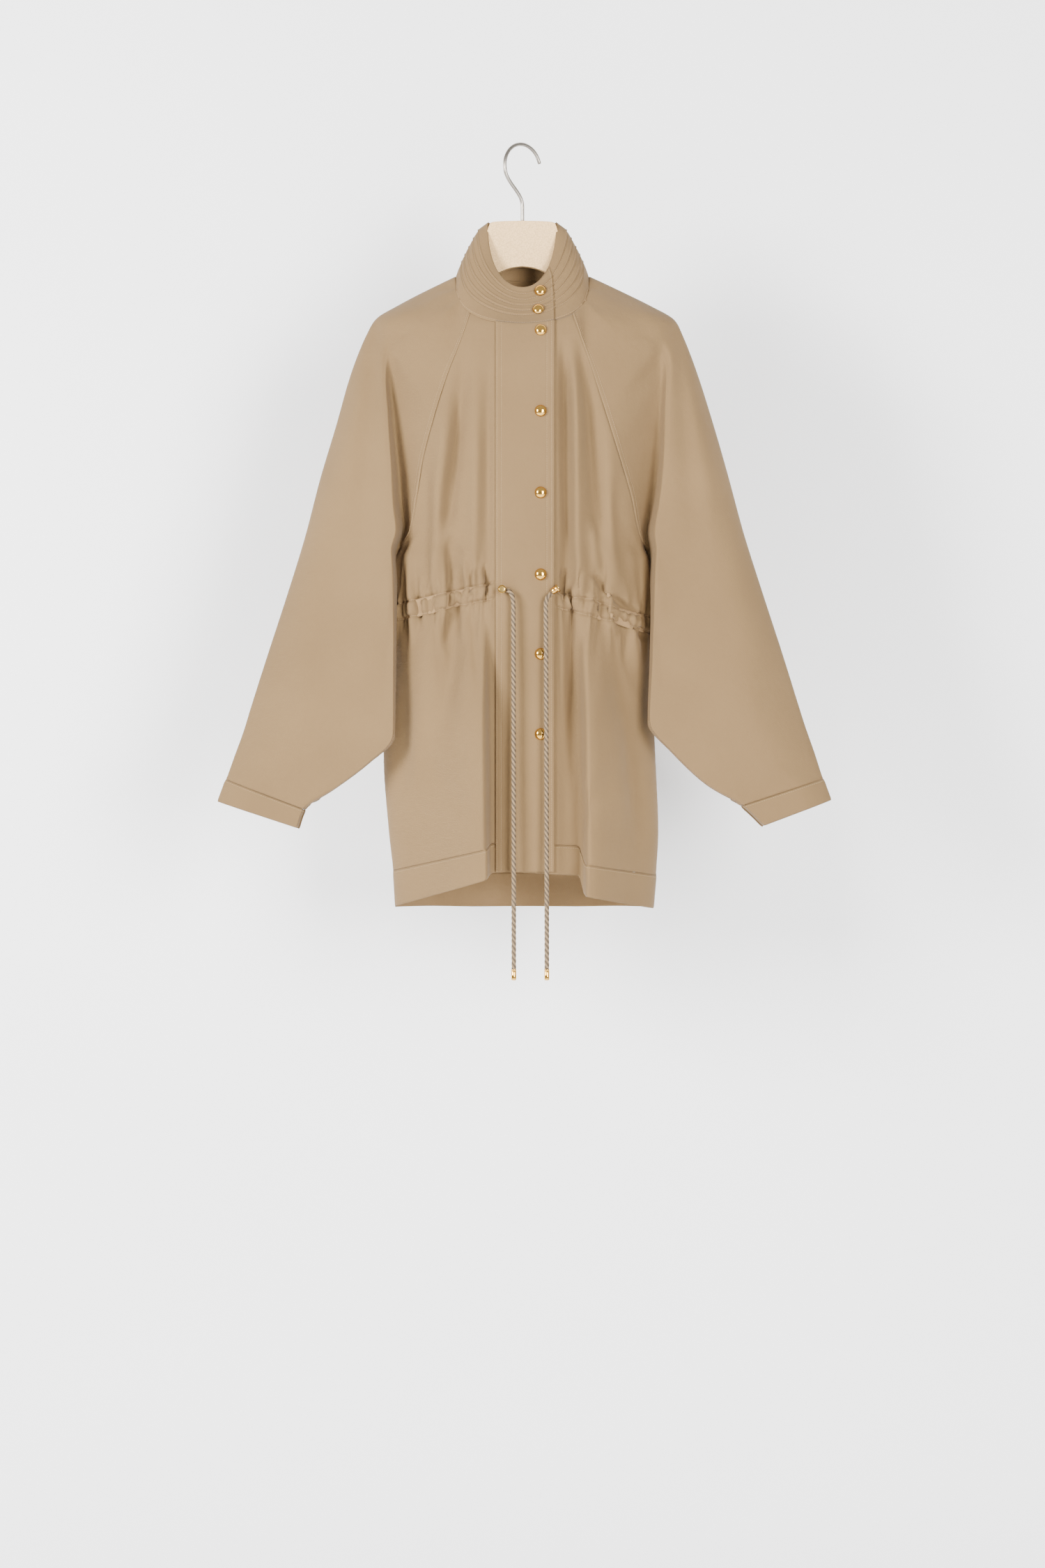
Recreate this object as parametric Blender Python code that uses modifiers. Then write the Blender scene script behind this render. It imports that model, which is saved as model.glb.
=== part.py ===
"""A hip-length parka hanging closed on a hanger.

Lengths are millimetres, and MM turns them into metres where meshes are made. +Z is up, +X is
to the right of someone who faces the front, and -Y is toward them. The origin is where a rail
would carry the hook: the underside of the hook's top.

Every cloth piece is a grid of points on the garment's outer face. A grid's columns run across
the piece (0 at its first seam, 1 at its last) and its rows run down it, from level 0 at the
neck, through LEVEL_UNDERARM and LEVEL_WAIST, to level 1 at the top of the hem band. The wall
is laid inward from the grid.
"""

import math

import bmesh
import bpy
import numpy as np
from mathutils import Matrix, Vector

MM = 0.001

# Cloth and seams
WALL = 2.0
NECK_INSET = 0.4
RAGLAN_INSET = 0.6
SIDE_INSET = 0.95
BAND_INSET = 0.3
LAYER_GAP = 0.75
CASING_WALL = 1.2
CASING_GAP = 2.0
CASING_INSET = 4.0

# Levels down the body
LEVEL_UNDERARM = 0.42
LEVEL_WAIST = 0.53
ROWS_TO_UNDERARM = 10
ROWS_TO_WAIST = 3
ROWS_TO_HEM = 9

# Neckline, an egg-shaped ring: highest at the sides, lowest at the front
NECK_HALF_WIDTH = 87.5
NECK_SIDE_Z = -171.0
NECK_DROP = 70.0
NECK_DROP_POWER = 0.3

# Placket: a flat strip over both front edges
PLACKET_LEFT_X = -35.0
PLACKET_RIGHT_X = 42.0
PLACKET_COLUMNS = 6
FRONT_LEFT_START_X = 22.0
FRONT_RIGHT_START_X = -14.0

# Casing of the drawstring, on the inside of the waist
CASING_HEIGHT = 23.0

# Hem and cuff bands
BAND_ROWS = 2
CUFF_ROWS = 2

# Snaps: domed caps
SNAP_RADIUS = 7.7
SNAP_HEIGHT = 4.6
SNAP_GAP = 0.35

# Drawstring
CORD_DIAMETER = 5.2
TIP_RADIUS = 2.9
TIP_LENGTH = 14.5

# Hook: a wire bent round an arc, in a plane turned about the vertical
HOOK_WIRE_RADIUS = 2.4
HOOK_ARC_RADIUS = 30.5
HOOK_TURN_DEGREES = 40.0
HOOK_TIP_DEGREES = 15.0
HOOK_ARC_END_DEGREES = 192.0
HOOK_ARC_POINTS = 16
HOOK_BEND_POINTS = 7

# Hanger: a flat plate with a tall head and two arms
HANGER_HALF_THICKNESS = 6.0
HANGER_EDGE_ROUND = 5.5
HANGER_TOP_Z = -99.5
HANGER_SOCKET_DEPTH = 14.0
HANGER_SOCKET_GAP = 0.35


class Table:
    """Rows of named columns, read smoothly at any place along the first column."""

    def __init__(self, names, rows):
        self.names = names
        self.rows = np.array(sorted(rows), float)

    def at(self, name, place):
        column = self.rows[:, self.names.index(name)]
        return smooth(self.rows[:, 0], column, place)


def smooth(places, values, place):
    """A cubic through the values that never overshoots them; place is held within the table."""
    places = np.asarray(places, float)
    values = np.asarray(values, float)
    steps = np.diff(places)
    slopes = np.diff(values) / steps
    product = slopes[:-1] * slopes[1:]
    total = slopes[:-1] + slopes[1:]
    total = np.where(product > 0, total, 1.0)
    tangents = np.concatenate([slopes[:1], np.where(product > 0, 2 * product / total, 0), slopes[-1:]])
    place = np.clip(place, places[0], places[-1])
    index = np.clip(np.searchsorted(places, place, side="right") - 1, 0, len(steps) - 1)
    t = (place - places[index]) / steps[index]
    start = values[index] + t * steps[index] * tangents[index] * (1 - t) ** 2
    end = -steps[index] * tangents[index + 1] * t * t * (1 - t)
    rise = (values[index + 1] - values[index]) * t * t * (3 - 2 * t)
    return start + rise + end


def ease(start, end, place):
    """0 at start, 1 at end, and level at both."""
    t = np.clip((place - start) / (end - start), 0, 1)
    return t * t * (3 - 2 * t)


# The body's ring at each height: half widths to the two sides, depth to the front and back
BODY = Table(
    ("z", "left", "right", "front", "back"),
    (
        (-171, 87.5, 87.5, 8, 38),
        (-184, 114, 114, 20, 40),
        (-197, 140, 142, 31, 41),
        (-214, 172, 177, 43, 43),
        (-229, 195, 203, 54, 44),
        (-241, 196, 205, 60, 45),
        (-270, 196, 204, 66, 47),
        (-310, 193, 200, 69, 49),
        (-400, 184, 190, 71, 52),
        (-480, 169, 172, 71, 54),
        (-532, 158, 158, 70, 54),
        (-600, 156, 162, 68, 52),
        (-640, 160, 165, 67, 53),
        (-700, 170, 169, 66, 56),
        (-805, 184, 176, 65, 60),
        (-905, 177, 180, 64, 62),
        (-960, 171, 177, 63, 62),
        (-1010, 168, 173, 62, 62),
    ),
)

# Front raglan seams and, below the underarm, the side seams: distance from the centre plane
SEAM_FRONT = Table(
    ("z", "left", "right"),
    (
        (-216, 66, 60),
        (-225, 68, 64),
        (-273, 84, 81),
        (-307, 97, 92),
        (-363, 115, 110),
        (-420, 130.5, 128),
        (-465, 138.5, 142),
        (-509, 146, 151),
        (-532, 158, 158),
    ),
)
SEAM_BACK = Table(
    ("z", "left", "right"),
    ((-171.5, 60, 60), (-250, 82, 82), (-350, 107, 107), (-450, 131, 131), (-509, 147, 147), (-532, 158, 158)),
)

# Height of each level at the centre front, the front seams and the back
LEVELS = Table(
    ("level", "centre", "left", "right", "back", "back_side"),
    (
        (0.00, -240.6, -224.2, -226.8, -171.2, -171.6),
        (0.42, -505.0, -532.0, -532.0, -515.0, -532.0),
        (0.53, -588.0, -618.0, -634.0, -612.0, -626.0),
        (1.00, -919.0, -956.0, -962.0, -960.0, -959.0),
        (1.15, -957.0, -1003.0, -1006.0, -1006.0, -1004.5),
    ),
)

# Folds. Columns: x_top, z_top, x_end, z_end, height, inner, outer, fade_top, fade_end. A fold runs
# between its two ends; height is positive outward; inner and outer are its reach to its two
# sides; it grows over fade_top and fades over fade_end. On the fronts x is the distance from
# the centre plane, and on the back it is signed.
FOLDS_LEFT = (
    (45, -255, 44, -590, -5, 5, 8, 60, 10),
    (60, -260, 63, -590, 5, 8, 9, 60, 12),
    (76, -262, 98, -515, -8, 9, 11, 50, 30),
    (98, -515, 84, -610, -7, 9, 11, 25, 20),
    (101, -330, 116, -590, 6, 12, 16, 60, 30),
    (62, -612, 66, -1060, 40, 12, 46, 190, 10),
    (80, -600, 104, -800, -11, 12, 15, 20, 120),
    (66, -612, 56, -740, -5, 5, 6, 20, 80),
    (130, -630, 140, -860, 6, 18, 16, 50, 90),
)
FOLDS_RIGHT = (
    (54, -262, 58, -596, -9, 6, 6, 60, 12),
    (69, -290, 71, -596, 9, 5, 12, 70, 10),
    (76, -258, 98, -520, -7, 8, 9, 50, 30),
    (110, -350, 124, -600, 5, 12, 16, 60, 30),
    (53, -600, 54, -780, 6, 5, 6, 12, 90),
    (61, -596, 66, -840, -12, 6, 6, 14, 120),
    (80, -604, 100, -1060, 39, 13, 40, 180, 10),
    (111, -622, 156, -960, -10, 14, 14, 30, 120),
)
FOLDS_BACK = (
    (-96, -300, -104, -610, 7, 20, 20, 120, 20),
    (-40, -260, -46, -610, -6, 16, 16, 90, 20),
    (18, -280, 22, -610, 6, 18, 18, 100, 20),
    (78, -300, 84, -610, -6, 16, 18, 110, 20),
    (120, -380, 118, -610, 6, 14, 14, 90, 20),
    (-118, -620, -124, -1060, 14, 26, 26, 110, 10),
    (-58, -620, -66, -1060, -8, 22, 24, 90, 10),
    (4, -620, 0, -1060, 13, 28, 28, 120, 10),
    (66, -620, 74, -1060, -8, 22, 22, 100, 10),
    (122, -620, 132, -1060, 14, 26, 24, 120, 10),
)


def folded(folds, x, z):
    """How far the folds move the cloth outward at x and z."""
    total = np.zeros(np.broadcast(x, z).shape)
    for x_top, z_top, x_end, z_end, height, inner, outer, fade_top, fade_end in folds:
        middle = x_top + (x_end - x_top) * np.clip((z - z_top) / (z_end - z_top), 0, 1)
        side = np.where(x < middle, inner, outer)
        strength = ease(z_top + 8, z_top - fade_top, z) * ease(z_end - 8, z_end + fade_end, z)
        total = total + height * strength * np.exp(-(((x - middle) / side) ** 2))
    return total


def ring_share(x, z, side):
    """1 at the centre plane and 0 where the ring turns to the other face."""
    return np.sqrt(np.clip(1 - np.abs(x / BODY.at(side, z)) ** 2.2, 0, 1))


def front_y(x, z, side):
    """The body's front face; x is the distance from the centre plane on that side."""
    share = ring_share(x, z, side)
    folds = FOLDS_LEFT if side == "left" else FOLDS_RIGHT
    return -BODY.at("front", z) * share - folded(folds, x, z) * ease(0, 0.45, share)


def back_y(x, z):
    """The body's back face; x is signed."""
    share = np.where(x < 0, ring_share(x, z, "left"), ring_share(x, z, "right"))
    return BODY.at("back", z) * share + folded(FOLDS_BACK, x, z) * ease(0, 0.45, share)


def neck_z(x):
    """Height of the front neckline."""
    share = np.clip(1 - (x / NECK_HALF_WIDTH) ** 2, 0, 1)
    return NECK_SIDE_Z - NECK_DROP * share**NECK_DROP_POWER


def seam_x(seam, side, z):
    """Distance of a seam from the centre plane: the raglan, then the side of the body."""
    return np.where(z < -532, BODY.at(side, z), seam.at(side, z))


def neck_angle_x(angle):
    """Distance from the centre plane at an angle round the neck: 0 at its side, 90 at its middle."""
    return NECK_HALF_WIDTH * np.cos(np.radians(angle))


def neck_bow(side, start, share):
    """How far the neckline lies under the straight line between a front panel's two corners."""
    end = seam_x(SEAM_FRONT, side, LEVELS.at(side, 0.0))
    first, last = neck_z(start), neck_z(end)
    return neck_z(np.abs(start + (end - start) * share)) - first - (last - first) * share


def front_points(side, columns, levels):
    """Points of a front panel; columns run from its edge under the placket to its seam."""
    start = FRONT_LEFT_START_X if side == "left" else FRONT_RIGHT_START_X
    sign = -1 if side == "left" else 1
    c, level = np.meshgrid(columns, levels)
    seam_z = LEVELS.at(side, level)
    end = seam_x(SEAM_FRONT, side, seam_z)
    share = 0.45 * c + 0.55 * np.sin(c * math.pi / 2)
    x = start + (end - start) * share
    centre_z = LEVELS.at("centre", level)
    z = centre_z + (seam_z - centre_z) * share + (1 - ease(0, 0.1, level)) * neck_bow(side, start, share)
    return np.stack([sign * x, front_y(x, z, side), z], axis=-1)


def back_points(columns, levels):
    """Points of the back panel; columns run from its left seam to its right seam."""
    c, level = np.meshgrid(columns, levels)
    side_z = LEVELS.at("back_side", level)
    u = 2 * c - 1
    end = np.where(u < 0, seam_x(SEAM_BACK, "left", side_z), seam_x(SEAM_BACK, "right", side_z))
    x = end * (0.45 * u + 0.55 * np.sin(u * math.pi / 2))
    middle_z = LEVELS.at("back", level)
    z = middle_z + (side_z - middle_z) * np.abs(u)
    return np.stack([x, back_y(x, z), z], axis=-1)


# Sleeves. A row crosses the sleeve from its front seam, over the fold that hangs before the
# body, across the front, round the outer edge and over the back to its back seam. Place 0 is
# the neck, 1 the underarm and 2 the cuff.
SLEEVE_NAMES = (
    "place", "outer_x", "outer_y", "outer_z", "fold", "fold_y", "valley_y", "middle_y",
    "back_y", "back_fold_y",
)
SLEEVE_LEFT = Table(
    SLEEVE_NAMES,
    (
        (0.00, 88, 0, -171.5, 0.45, -33, -40, -22, 22, 30),
        (0.10, 112, 0, -183, 0.45, -36, -42, -24, 24, 30),
        (0.20, 140, 0, -197, 0.50, -38, -45, -25, 24, 30),
        (0.30, 168, 0, -212, 0.60, -36, -47, -24, 22, 30),
        (0.40, 194, 0, -228, 0.72, -30, -38, -16, 18, 28),
        (0.50, 207, 0, -250, 0.68, -34, -27, -20, 18, 28),
        (0.62, 227, -2, -300, 0.48, -44, -24, -34, 20, 30),
        (0.75, 247, -3, -370, 0.317, -50, -19, -42, 23, 32),
        (0.87, 268, -4, -440, 0.206, -51, -14, -46, 24, 28),
        (1.00, 286, -6, -510, 0.074, -51, -9, -48, 20, 15),
        (1.20, 311, -10, -592, 0.030, -54, -40, -50, 11, 0),
        (1.40, 337, -14, -672, 0.022, -61, -50, -56, -2, -24),
        (1.60, 361, -18, -748, 0.015, -66, -58, -58, -10, -38),
        (1.70, 368, -20, -772, 0.015, -62, -56, -55, -12, -37),
        (1.85, 379, -24, -804, 0.020, -54, -49, -51, -16, -33),
        (2.00, 390, -26, -836, 0.025, -47, -42, -46, -17, -25),
        (2.15, 400.5, -27, -865, 0.025, -46, -41, -45, -17, -24),
    ),
)
SLEEVE_RIGHT = Table(
    SLEEVE_NAMES,
    (
        (0.00, 88, 0, -171.5, 0.45, -33, -40, -22, 22, 30),
        (0.10, 113, 0, -183, 0.45, -36, -42, -24, 24, 30),
        (0.20, 142, 0, -197, 0.50, -38, -45, -25, 24, 30),
        (0.30, 172, 0, -212, 0.60, -36, -47, -24, 22, 30),
        (0.40, 202, 0, -230, 0.72, -30, -38, -16, 18, 28),
        (0.50, 213, 0, -252, 0.74, -34, -27, -20, 18, 28),
        (0.62, 232, -2, -302, 0.58, -44, -24, -34, 20, 30),
        (0.75, 255, -3, -375, 0.40, -50, -19, -42, 23, 32),
        (0.87, 273, -4, -438, 0.25, -51, -14, -46, 24, 28),
        (1.00, 291, -6, -505, 0.10, -51, -9, -48, 20, 15),
        (1.20, 316, -10, -585, 0.030, -54, -40, -50, 11, 0),
        (1.40, 342, -14, -665, 0.022, -61, -50, -56, -2, -24),
        (1.60, 366, -18, -742, 0.015, -66, -58, -58, -10, -38),
        (1.70, 374, -20, -768, 0.015, -62, -56, -55, -12, -37),
        (1.85, 385, -24, -801, 0.020, -54, -49, -51, -16, -33),
        (2.00, 395.5, -26, -835, 0.025, -47, -42, -46, -17, -25),
        (2.15, 405.5, -27, -863, 0.025, -46, -41, -45, -17, -24),
    ),
)
UNDERARM_NAMES = ("place", "x", "y", "z")
UNDERARM_LEFT = Table(
    UNDERARM_NAMES,
    (
        (1.00, 159, 0, -532),
        (1.20, 164.5, -20, -600),
        (1.40, 165, -38, -690),
        (1.60, 166, -49, -780),
        (1.70, 197, -48, -813),
        (1.85, 246, -43, -850),
        (2.00, 285, -36, -876),
        (2.15, 294, -35, -900),
    ),
)
UNDERARM_RIGHT = Table(
    UNDERARM_NAMES,
    (
        (1.00, 159, 0, -532),
        (1.20, 168, -20, -600),
        (1.40, 166, -38, -680),
        (1.60, 163, -49, -762),
        (1.70, 193, -48, -800),
        (1.85, 243, -43, -846),
        (2.00, 287, -36, -871),
        (2.15, 315, -35, -897),
    ),
)
SLEEVES = {"left": (SLEEVE_LEFT, UNDERARM_LEFT, -1), "right": (SLEEVE_RIGHT, UNDERARM_RIGHT, 1)}
CREASES_FRONT = {
    "left": (
        (196, -262, 214, -640, -5, 12, 14, 40, 160),
        (232, -420, 268, -760, -4, 20, 18, 80, 120),
        (120, -262, 138, -470, -4, 12, 12, 40, 70),
    ),
    "right": (
        (188, -262, 158, -520, -5, 9, 11, 40, 60),
        (206, -262, 232, -620, -5, 13, 14, 40, 160),
        (101, -250, 124, -400, -4, 11, 11, 30, 70),
        (246, -430, 282, -760, -4, 20, 18, 80, 120),
    ),
}
CREASES_BACK = {
    "left": ((150, -250, 190, -700, -6, 20, 24, 60, 160), (215, -330, 262, -760, -5, 20, 22, 60, 140)),
    "right": ((160, -250, 186, -700, -6, 22, 22, 60, 160), (220, -340, 270, -760, -5, 22, 20, 60, 140)),
}
VALLEY_BEFORE_FOLD = 0.085
FOLD_ROUND = 0.05
BACK_FOLD_SHIFT = 0.03
FRONT_COLUMNS = (0, 0.5, 1, 1.5, 2, 3, 3.4, 4, 4.5, 5)
BACK_COLUMNS = (5.5, 6, 6.5, 7, 7.5, 8)
OUTER_COLUMN = 5


def sleeve_ends(side, place):
    """Front seam, outer edge and back seam points of one row of a sleeve; x is a distance."""
    sleeve, underarm, _ = SLEEVES[side]
    outer = np.array([sleeve.at(name, place) for name in ("outer_x", "outer_y", "outer_z")])
    if place > 1:
        seam = np.array([underarm.at(name, place) for name in ("x", "y", "z")])
        return seam, outer, seam
    level = place * LEVEL_UNDERARM
    z = LEVELS.at(side, level)
    x = seam_x(SEAM_FRONT, side, z)
    front = np.array([x, front_y(x, z, side), z])
    back_z = LEVELS.at("back_side", level)
    back_x = seam_x(SEAM_BACK, side, back_z)
    sign = SLEEVES[side][2]
    return front, outer, np.array([back_x, back_y(sign * back_x, back_z), back_z])


def sleeve_keys(side, place):
    """Nine points along one row: seam, valley, fold, its round, middle, outer, middle, fold, seam."""
    sleeve = SLEEVES[side][0]
    sign = SLEEVES[side][2]
    front, outer, back = sleeve_ends(side, place)
    fold = sleeve.at("fold", place)
    near = max(fold - VALLEY_BEFORE_FOLD, fold * 0.45)
    shares = (near, fold, fold + FOLD_ROUND, 0.62 + 0.38 * fold)
    depths = [sleeve.at(name, place) for name in ("valley_y", "fold_y", "fold_y", "middle_y")]
    shaped = float(ease(0.38, 0.52, place))
    keys = [front]
    for share, depth in zip(shares, depths):
        point = front + (outer - front) * share
        angle = math.degrees(math.acos(min(front[0] / NECK_HALF_WIDTH, 1))) * (1 - share)
        on_neck = neck_angle_x(angle)
        mix = float(ease(0, 0.3, place))
        flat = np.array([on_neck, 0, neck_z(on_neck)]) if place < 0.3 else point
        point = flat + (point - flat) * mix
        body = front_y(point[0], point[2], side)
        point[1] = body + (depth - body) * shaped
        keys.append(point)
    keys.append(outer)
    back_shares = (0.40, 1 - 0.5 * fold - BACK_FOLD_SHIFT) if place < 1 else (0.5, 0.96)
    shaped_back = float(ease(0.5, 0.9, place))
    for share, name in zip(back_shares, ("back_y", "back_fold_y")):
        point = outer + (back - outer) * share
        body = back_y(sign * point[0], point[2])
        point[1] = body + (sleeve.at(name, place) - body) * shaped_back
        keys.append(point)
    keys.append(back)
    return np.array(keys)


def sleeve_points(side, columns, places):
    """Points of a sleeve; columns run from its front seam (0) round to its back seam (8)."""
    sign = SLEEVES[side][2]
    columns = np.asarray(columns, float)
    rows = []
    for place in places:
        keys = sleeve_keys(side, place)
        rows.append(np.stack([smooth(range(len(keys)), keys[:, axis], columns) for axis in range(3)], axis=-1))
    points = np.array(rows)
    across = np.broadcast_to(columns, points.shape[:2])
    on_front = ease(0.8, 2.6, across) * (1 - ease(OUTER_COLUMN - 0.8, OUTER_COLUMN, across))
    on_back = ease(OUTER_COLUMN, OUTER_COLUMN + 0.8, across) * (1 - ease(7.2, 8, across))
    points[..., 1] -= folded(CREASES_FRONT[side], points[..., 0], points[..., 2]) * on_front
    points[..., 1] += folded(CREASES_BACK[side], points[..., 0], points[..., 2]) * on_back
    points[..., 0] *= sign
    return points


# Collar: a leaning band. Its under end starts before the front centre and runs round the
# right side, back and left side to the tab, which lies over it.
COLLAR_BASE_GAP = 1.9
COLLAR_BASE_SHRINK = 0.986
COLLAR_START_DEGREES = 78.0
COLLAR_TAB_BASE_DEGREES = 477.0
COLLAR_TAB_TOP_DEGREES = 494.0
COLLAR_TOP_HALF_WIDTH = 51.0
COLLAR_TOP_FRONT_Y = -30.0
COLLAR_TOP_SIDE_Y = 6.0
COLLAR_TOP_BACK_Y = 26.0
COLLAR_TOP_SIDE_Z = -98.5
COLLAR_TOP_BACK_Z = -102.0
COLLAR_TOP_FRONT_DROP = 92.0
COLLAR_FLARE = 5.0
COLLAR_OVERLAP = 2.9
COLLAR_TUCKS = 5
COLLAR_TUCK_HEIGHT = 0.9
COLLAR_COLUMNS = 40
COLLAR_ROWS = 5


def collar_base(angle):
    """The neckline at an angle: 0 the left side, 90 the front, 180 the right side, 270 the back."""
    x = -NECK_HALF_WIDTH * np.cos(np.radians(angle))
    at_front = np.sin(np.radians(angle)) > 0
    z = np.where(at_front, neck_z(x), NECK_SIDE_Z)
    front = np.where(x < 0, front_y(np.abs(x), z, "left"), front_y(np.abs(x), z, "right"))
    y = np.where(at_front, front, back_y(x, NECK_SIDE_Z))
    return np.stack([x * COLLAR_BASE_SHRINK, y * COLLAR_BASE_SHRINK, z + COLLAR_BASE_GAP], axis=-1)


def collar_top(angle):
    """The collar's upper edge at the same angles."""
    turn = np.radians(angle)
    x = -COLLAR_TOP_HALF_WIDTH * np.cos(turn)
    rise = np.abs(np.sin(turn))
    at_front = np.sin(turn) > 0
    reach = np.where(at_front, COLLAR_TOP_FRONT_Y, COLLAR_TOP_BACK_Y) - COLLAR_TOP_SIDE_Y
    y = COLLAR_TOP_SIDE_Y + reach * rise ** np.where(at_front, 0.6, 1.0)
    back_z = COLLAR_TOP_SIDE_Z + (COLLAR_TOP_BACK_Z - COLLAR_TOP_SIDE_Z) * rise
    z = np.where(at_front, COLLAR_TOP_SIDE_Z - COLLAR_TOP_FRONT_DROP * rise**1.1, back_z)
    return np.stack([x, y, z], axis=-1)


def collar_points(columns, rows):
    """Points of the collar; rows run from its upper edge (0) to the neckline (1)."""
    c, down = np.meshgrid(columns, rows)
    end = COLLAR_TAB_TOP_DEGREES + (COLLAR_TAB_BASE_DEGREES - COLLAR_TAB_TOP_DEGREES) * down
    angle = COLLAR_START_DEGREES + (end - COLLAR_START_DEGREES) * c
    base = collar_base(angle)
    top = collar_top(angle)
    points = top + (base - top) * down[..., None]
    outward = np.stack([-np.cos(np.radians(angle)), -np.sin(np.radians(angle)), 0 * angle], axis=-1)
    tuck = np.abs(np.sin(down * 0.82 * math.pi * COLLAR_TUCKS)) * (down < 1 / 0.82)
    lift = COLLAR_OVERLAP * ease(340, 420, angle) + COLLAR_TUCK_HEIGHT * tuck
    hollow = -COLLAR_FLARE * 4 * down * (1 - down)
    return points + outward * (lift + hollow)[..., None]


def grid_levels(start, end, count):
    return np.linspace(start, end, count + 1)


def body_levels():
    """The rows that the panels and the sleeves share, from the neck to the hem band."""
    above = grid_levels(0, LEVEL_UNDERARM, ROWS_TO_UNDERARM)
    middle = grid_levels(LEVEL_UNDERARM, LEVEL_WAIST, ROWS_TO_WAIST)
    below = grid_levels(LEVEL_WAIST, 1, ROWS_TO_HEM)
    return np.concatenate([above, middle[1:], below[1:]])


def shares(count):
    return np.linspace(0, 1, count + 1)


def outward_normals(points, outside):
    """Unit normals of a grid of points; outside is +1 where columns x rows faces out, else -1."""
    across = np.gradient(points, axis=1)
    down = np.gradient(points, axis=0)
    normal = np.cross(across, down) * outside
    return normal / np.maximum(np.linalg.norm(normal, axis=-1, keepdims=True), 1e-9)


def moved_out(points, distance, outside):
    return points + outward_normals(points, outside) * distance


def inset(points, left, right, top, bottom):
    """The grid with its edges drawn in by these lengths along the rows and columns."""
    points = points.copy()
    for edge, inner, length in ((0, 1, left), (-1, -2, right)):
        along = points[:, inner] - points[:, edge]
        size = np.maximum(np.linalg.norm(along, axis=-1, keepdims=True), 1e-6)
        points[:, edge] += along / size * np.reshape(length, (-1, 1))
    for edge, inner, length in ((0, 1, top), (-1, -2, bottom)):
        along = points[inner] - points[edge]
        size = np.maximum(np.linalg.norm(along, axis=-1, keepdims=True), 1e-6)
        points[edge] += along / size * length
    return points


def material(name, colour, roughness, metallic=0.0):
    made = bpy.data.materials.new(name)
    made.use_nodes = True
    shader = made.node_tree.nodes["Principled BSDF"]
    shader.inputs["Base Color"].default_value = (*colour, 1)
    shader.inputs["Roughness"].default_value = roughness
    shader.inputs["Metallic"].default_value = metallic
    return made


CLOTH = (0.49, 0.37, 0.25)
BRASS = (0.86, 0.62, 0.24)
STEEL = (0.45, 0.42, 0.38)
HEAD = (0.80, 0.68, 0.50)
ROPE = (0.55, 0.45, 0.33)


def place_in(collection, name, mesh, look):
    made = bpy.data.objects.new(name, mesh)
    mesh.materials.append(material(name, *look))
    collection.objects.link(made)
    return made


def cloth(collection, name, points, outside, wall=WALL):
    """A wall laid inward from a grid of points."""
    rows, columns = points.shape[:2]
    index = np.arange(rows * columns).reshape(rows, columns)
    corners = [index[:-1, :-1], index[:-1, 1:], index[1:, 1:], index[1:, :-1]]
    faces = np.stack(corners, axis=-1).reshape(-1, 4)
    if outside < 0:
        faces = faces[:, ::-1]
    mesh = bpy.data.meshes.new(name)
    mesh.from_pydata((points.reshape(-1, 3) * MM).tolist(), [], faces.tolist())
    mesh.update()
    mesh.shade_smooth()
    made = place_in(collection, name, mesh, (CLOTH, 0.85))
    thickness = made.modifiers.new("wall", "SOLIDIFY")
    thickness.thickness = wall * MM
    thickness.offset = -1
    thickness.use_even_offset = False
    return made


def turned(collection, name, profile, look, centre, axis, steps=14):
    """A profile of (radius, height) turned about a line through centre along axis."""
    mesh = bpy.data.meshes.new(name)
    verts = [(radius * MM, 0, height * MM) for radius, height in profile]
    mesh.from_pydata(verts, [(i, i + 1) for i in range(len(verts) - 1)], [])
    made = place_in(collection, name, mesh, look)
    screw = made.modifiers.new("turn", "SCREW")
    screw.steps = steps
    screw.render_steps = steps
    screw.use_merge_vertices = True
    screw.merge_threshold = 0.00001
    made.location = Vector(centre) * MM
    made.rotation_euler = Vector(axis).to_track_quat("Z", "Y").to_euler()
    return made


def wire(collection, name, path, radius, look, resolution=2):
    """A round wire along a path of points."""
    curve = bpy.data.curves.new(name, "CURVE")
    curve.dimensions = "3D"
    curve.bevel_depth = radius * MM
    curve.bevel_resolution = resolution
    curve.use_fill_caps = True
    spline = curve.splines.new("POLY")
    spline.points.add(len(path) - 1)
    for point, place in zip(spline.points, path):
        point.co = (*[value * MM for value in place], 1)
    return place_in(collection, name, curve, look)


def add_body(collection):
    levels = body_levels()
    band = grid_levels(1, 1.15, BAND_ROWS)
    columns = shares(17)
    seam = np.where(levels > LEVEL_UNDERARM - 0.01, SIDE_INSET, RAGLAN_INSET)
    for side, outside in (("left", 1), ("right", -1)):
        panel = front_points(side, columns, levels)
        cloth(collection, f"front_{side}", inset(panel, 0, seam, NECK_INSET, BAND_INSET), outside)
        hem = front_points(side, columns, band)
        cloth(collection, f"hem_front_{side}", inset(hem, 0, SIDE_INSET, BAND_INSET, 0), outside)
        add_casing(collection, f"casing_{side}", panel, levels, outside)
    back = back_points(shares(20), levels)
    cloth(collection, "back", inset(back, seam, seam, NECK_INSET, BAND_INSET), 1)
    hem = back_points(shares(20), band)
    cloth(collection, "hem_back", inset(hem, SIDE_INSET, SIDE_INSET, BAND_INSET, 0), 1)
    add_casing(collection, "casing_back", back, levels, 1)


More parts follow.
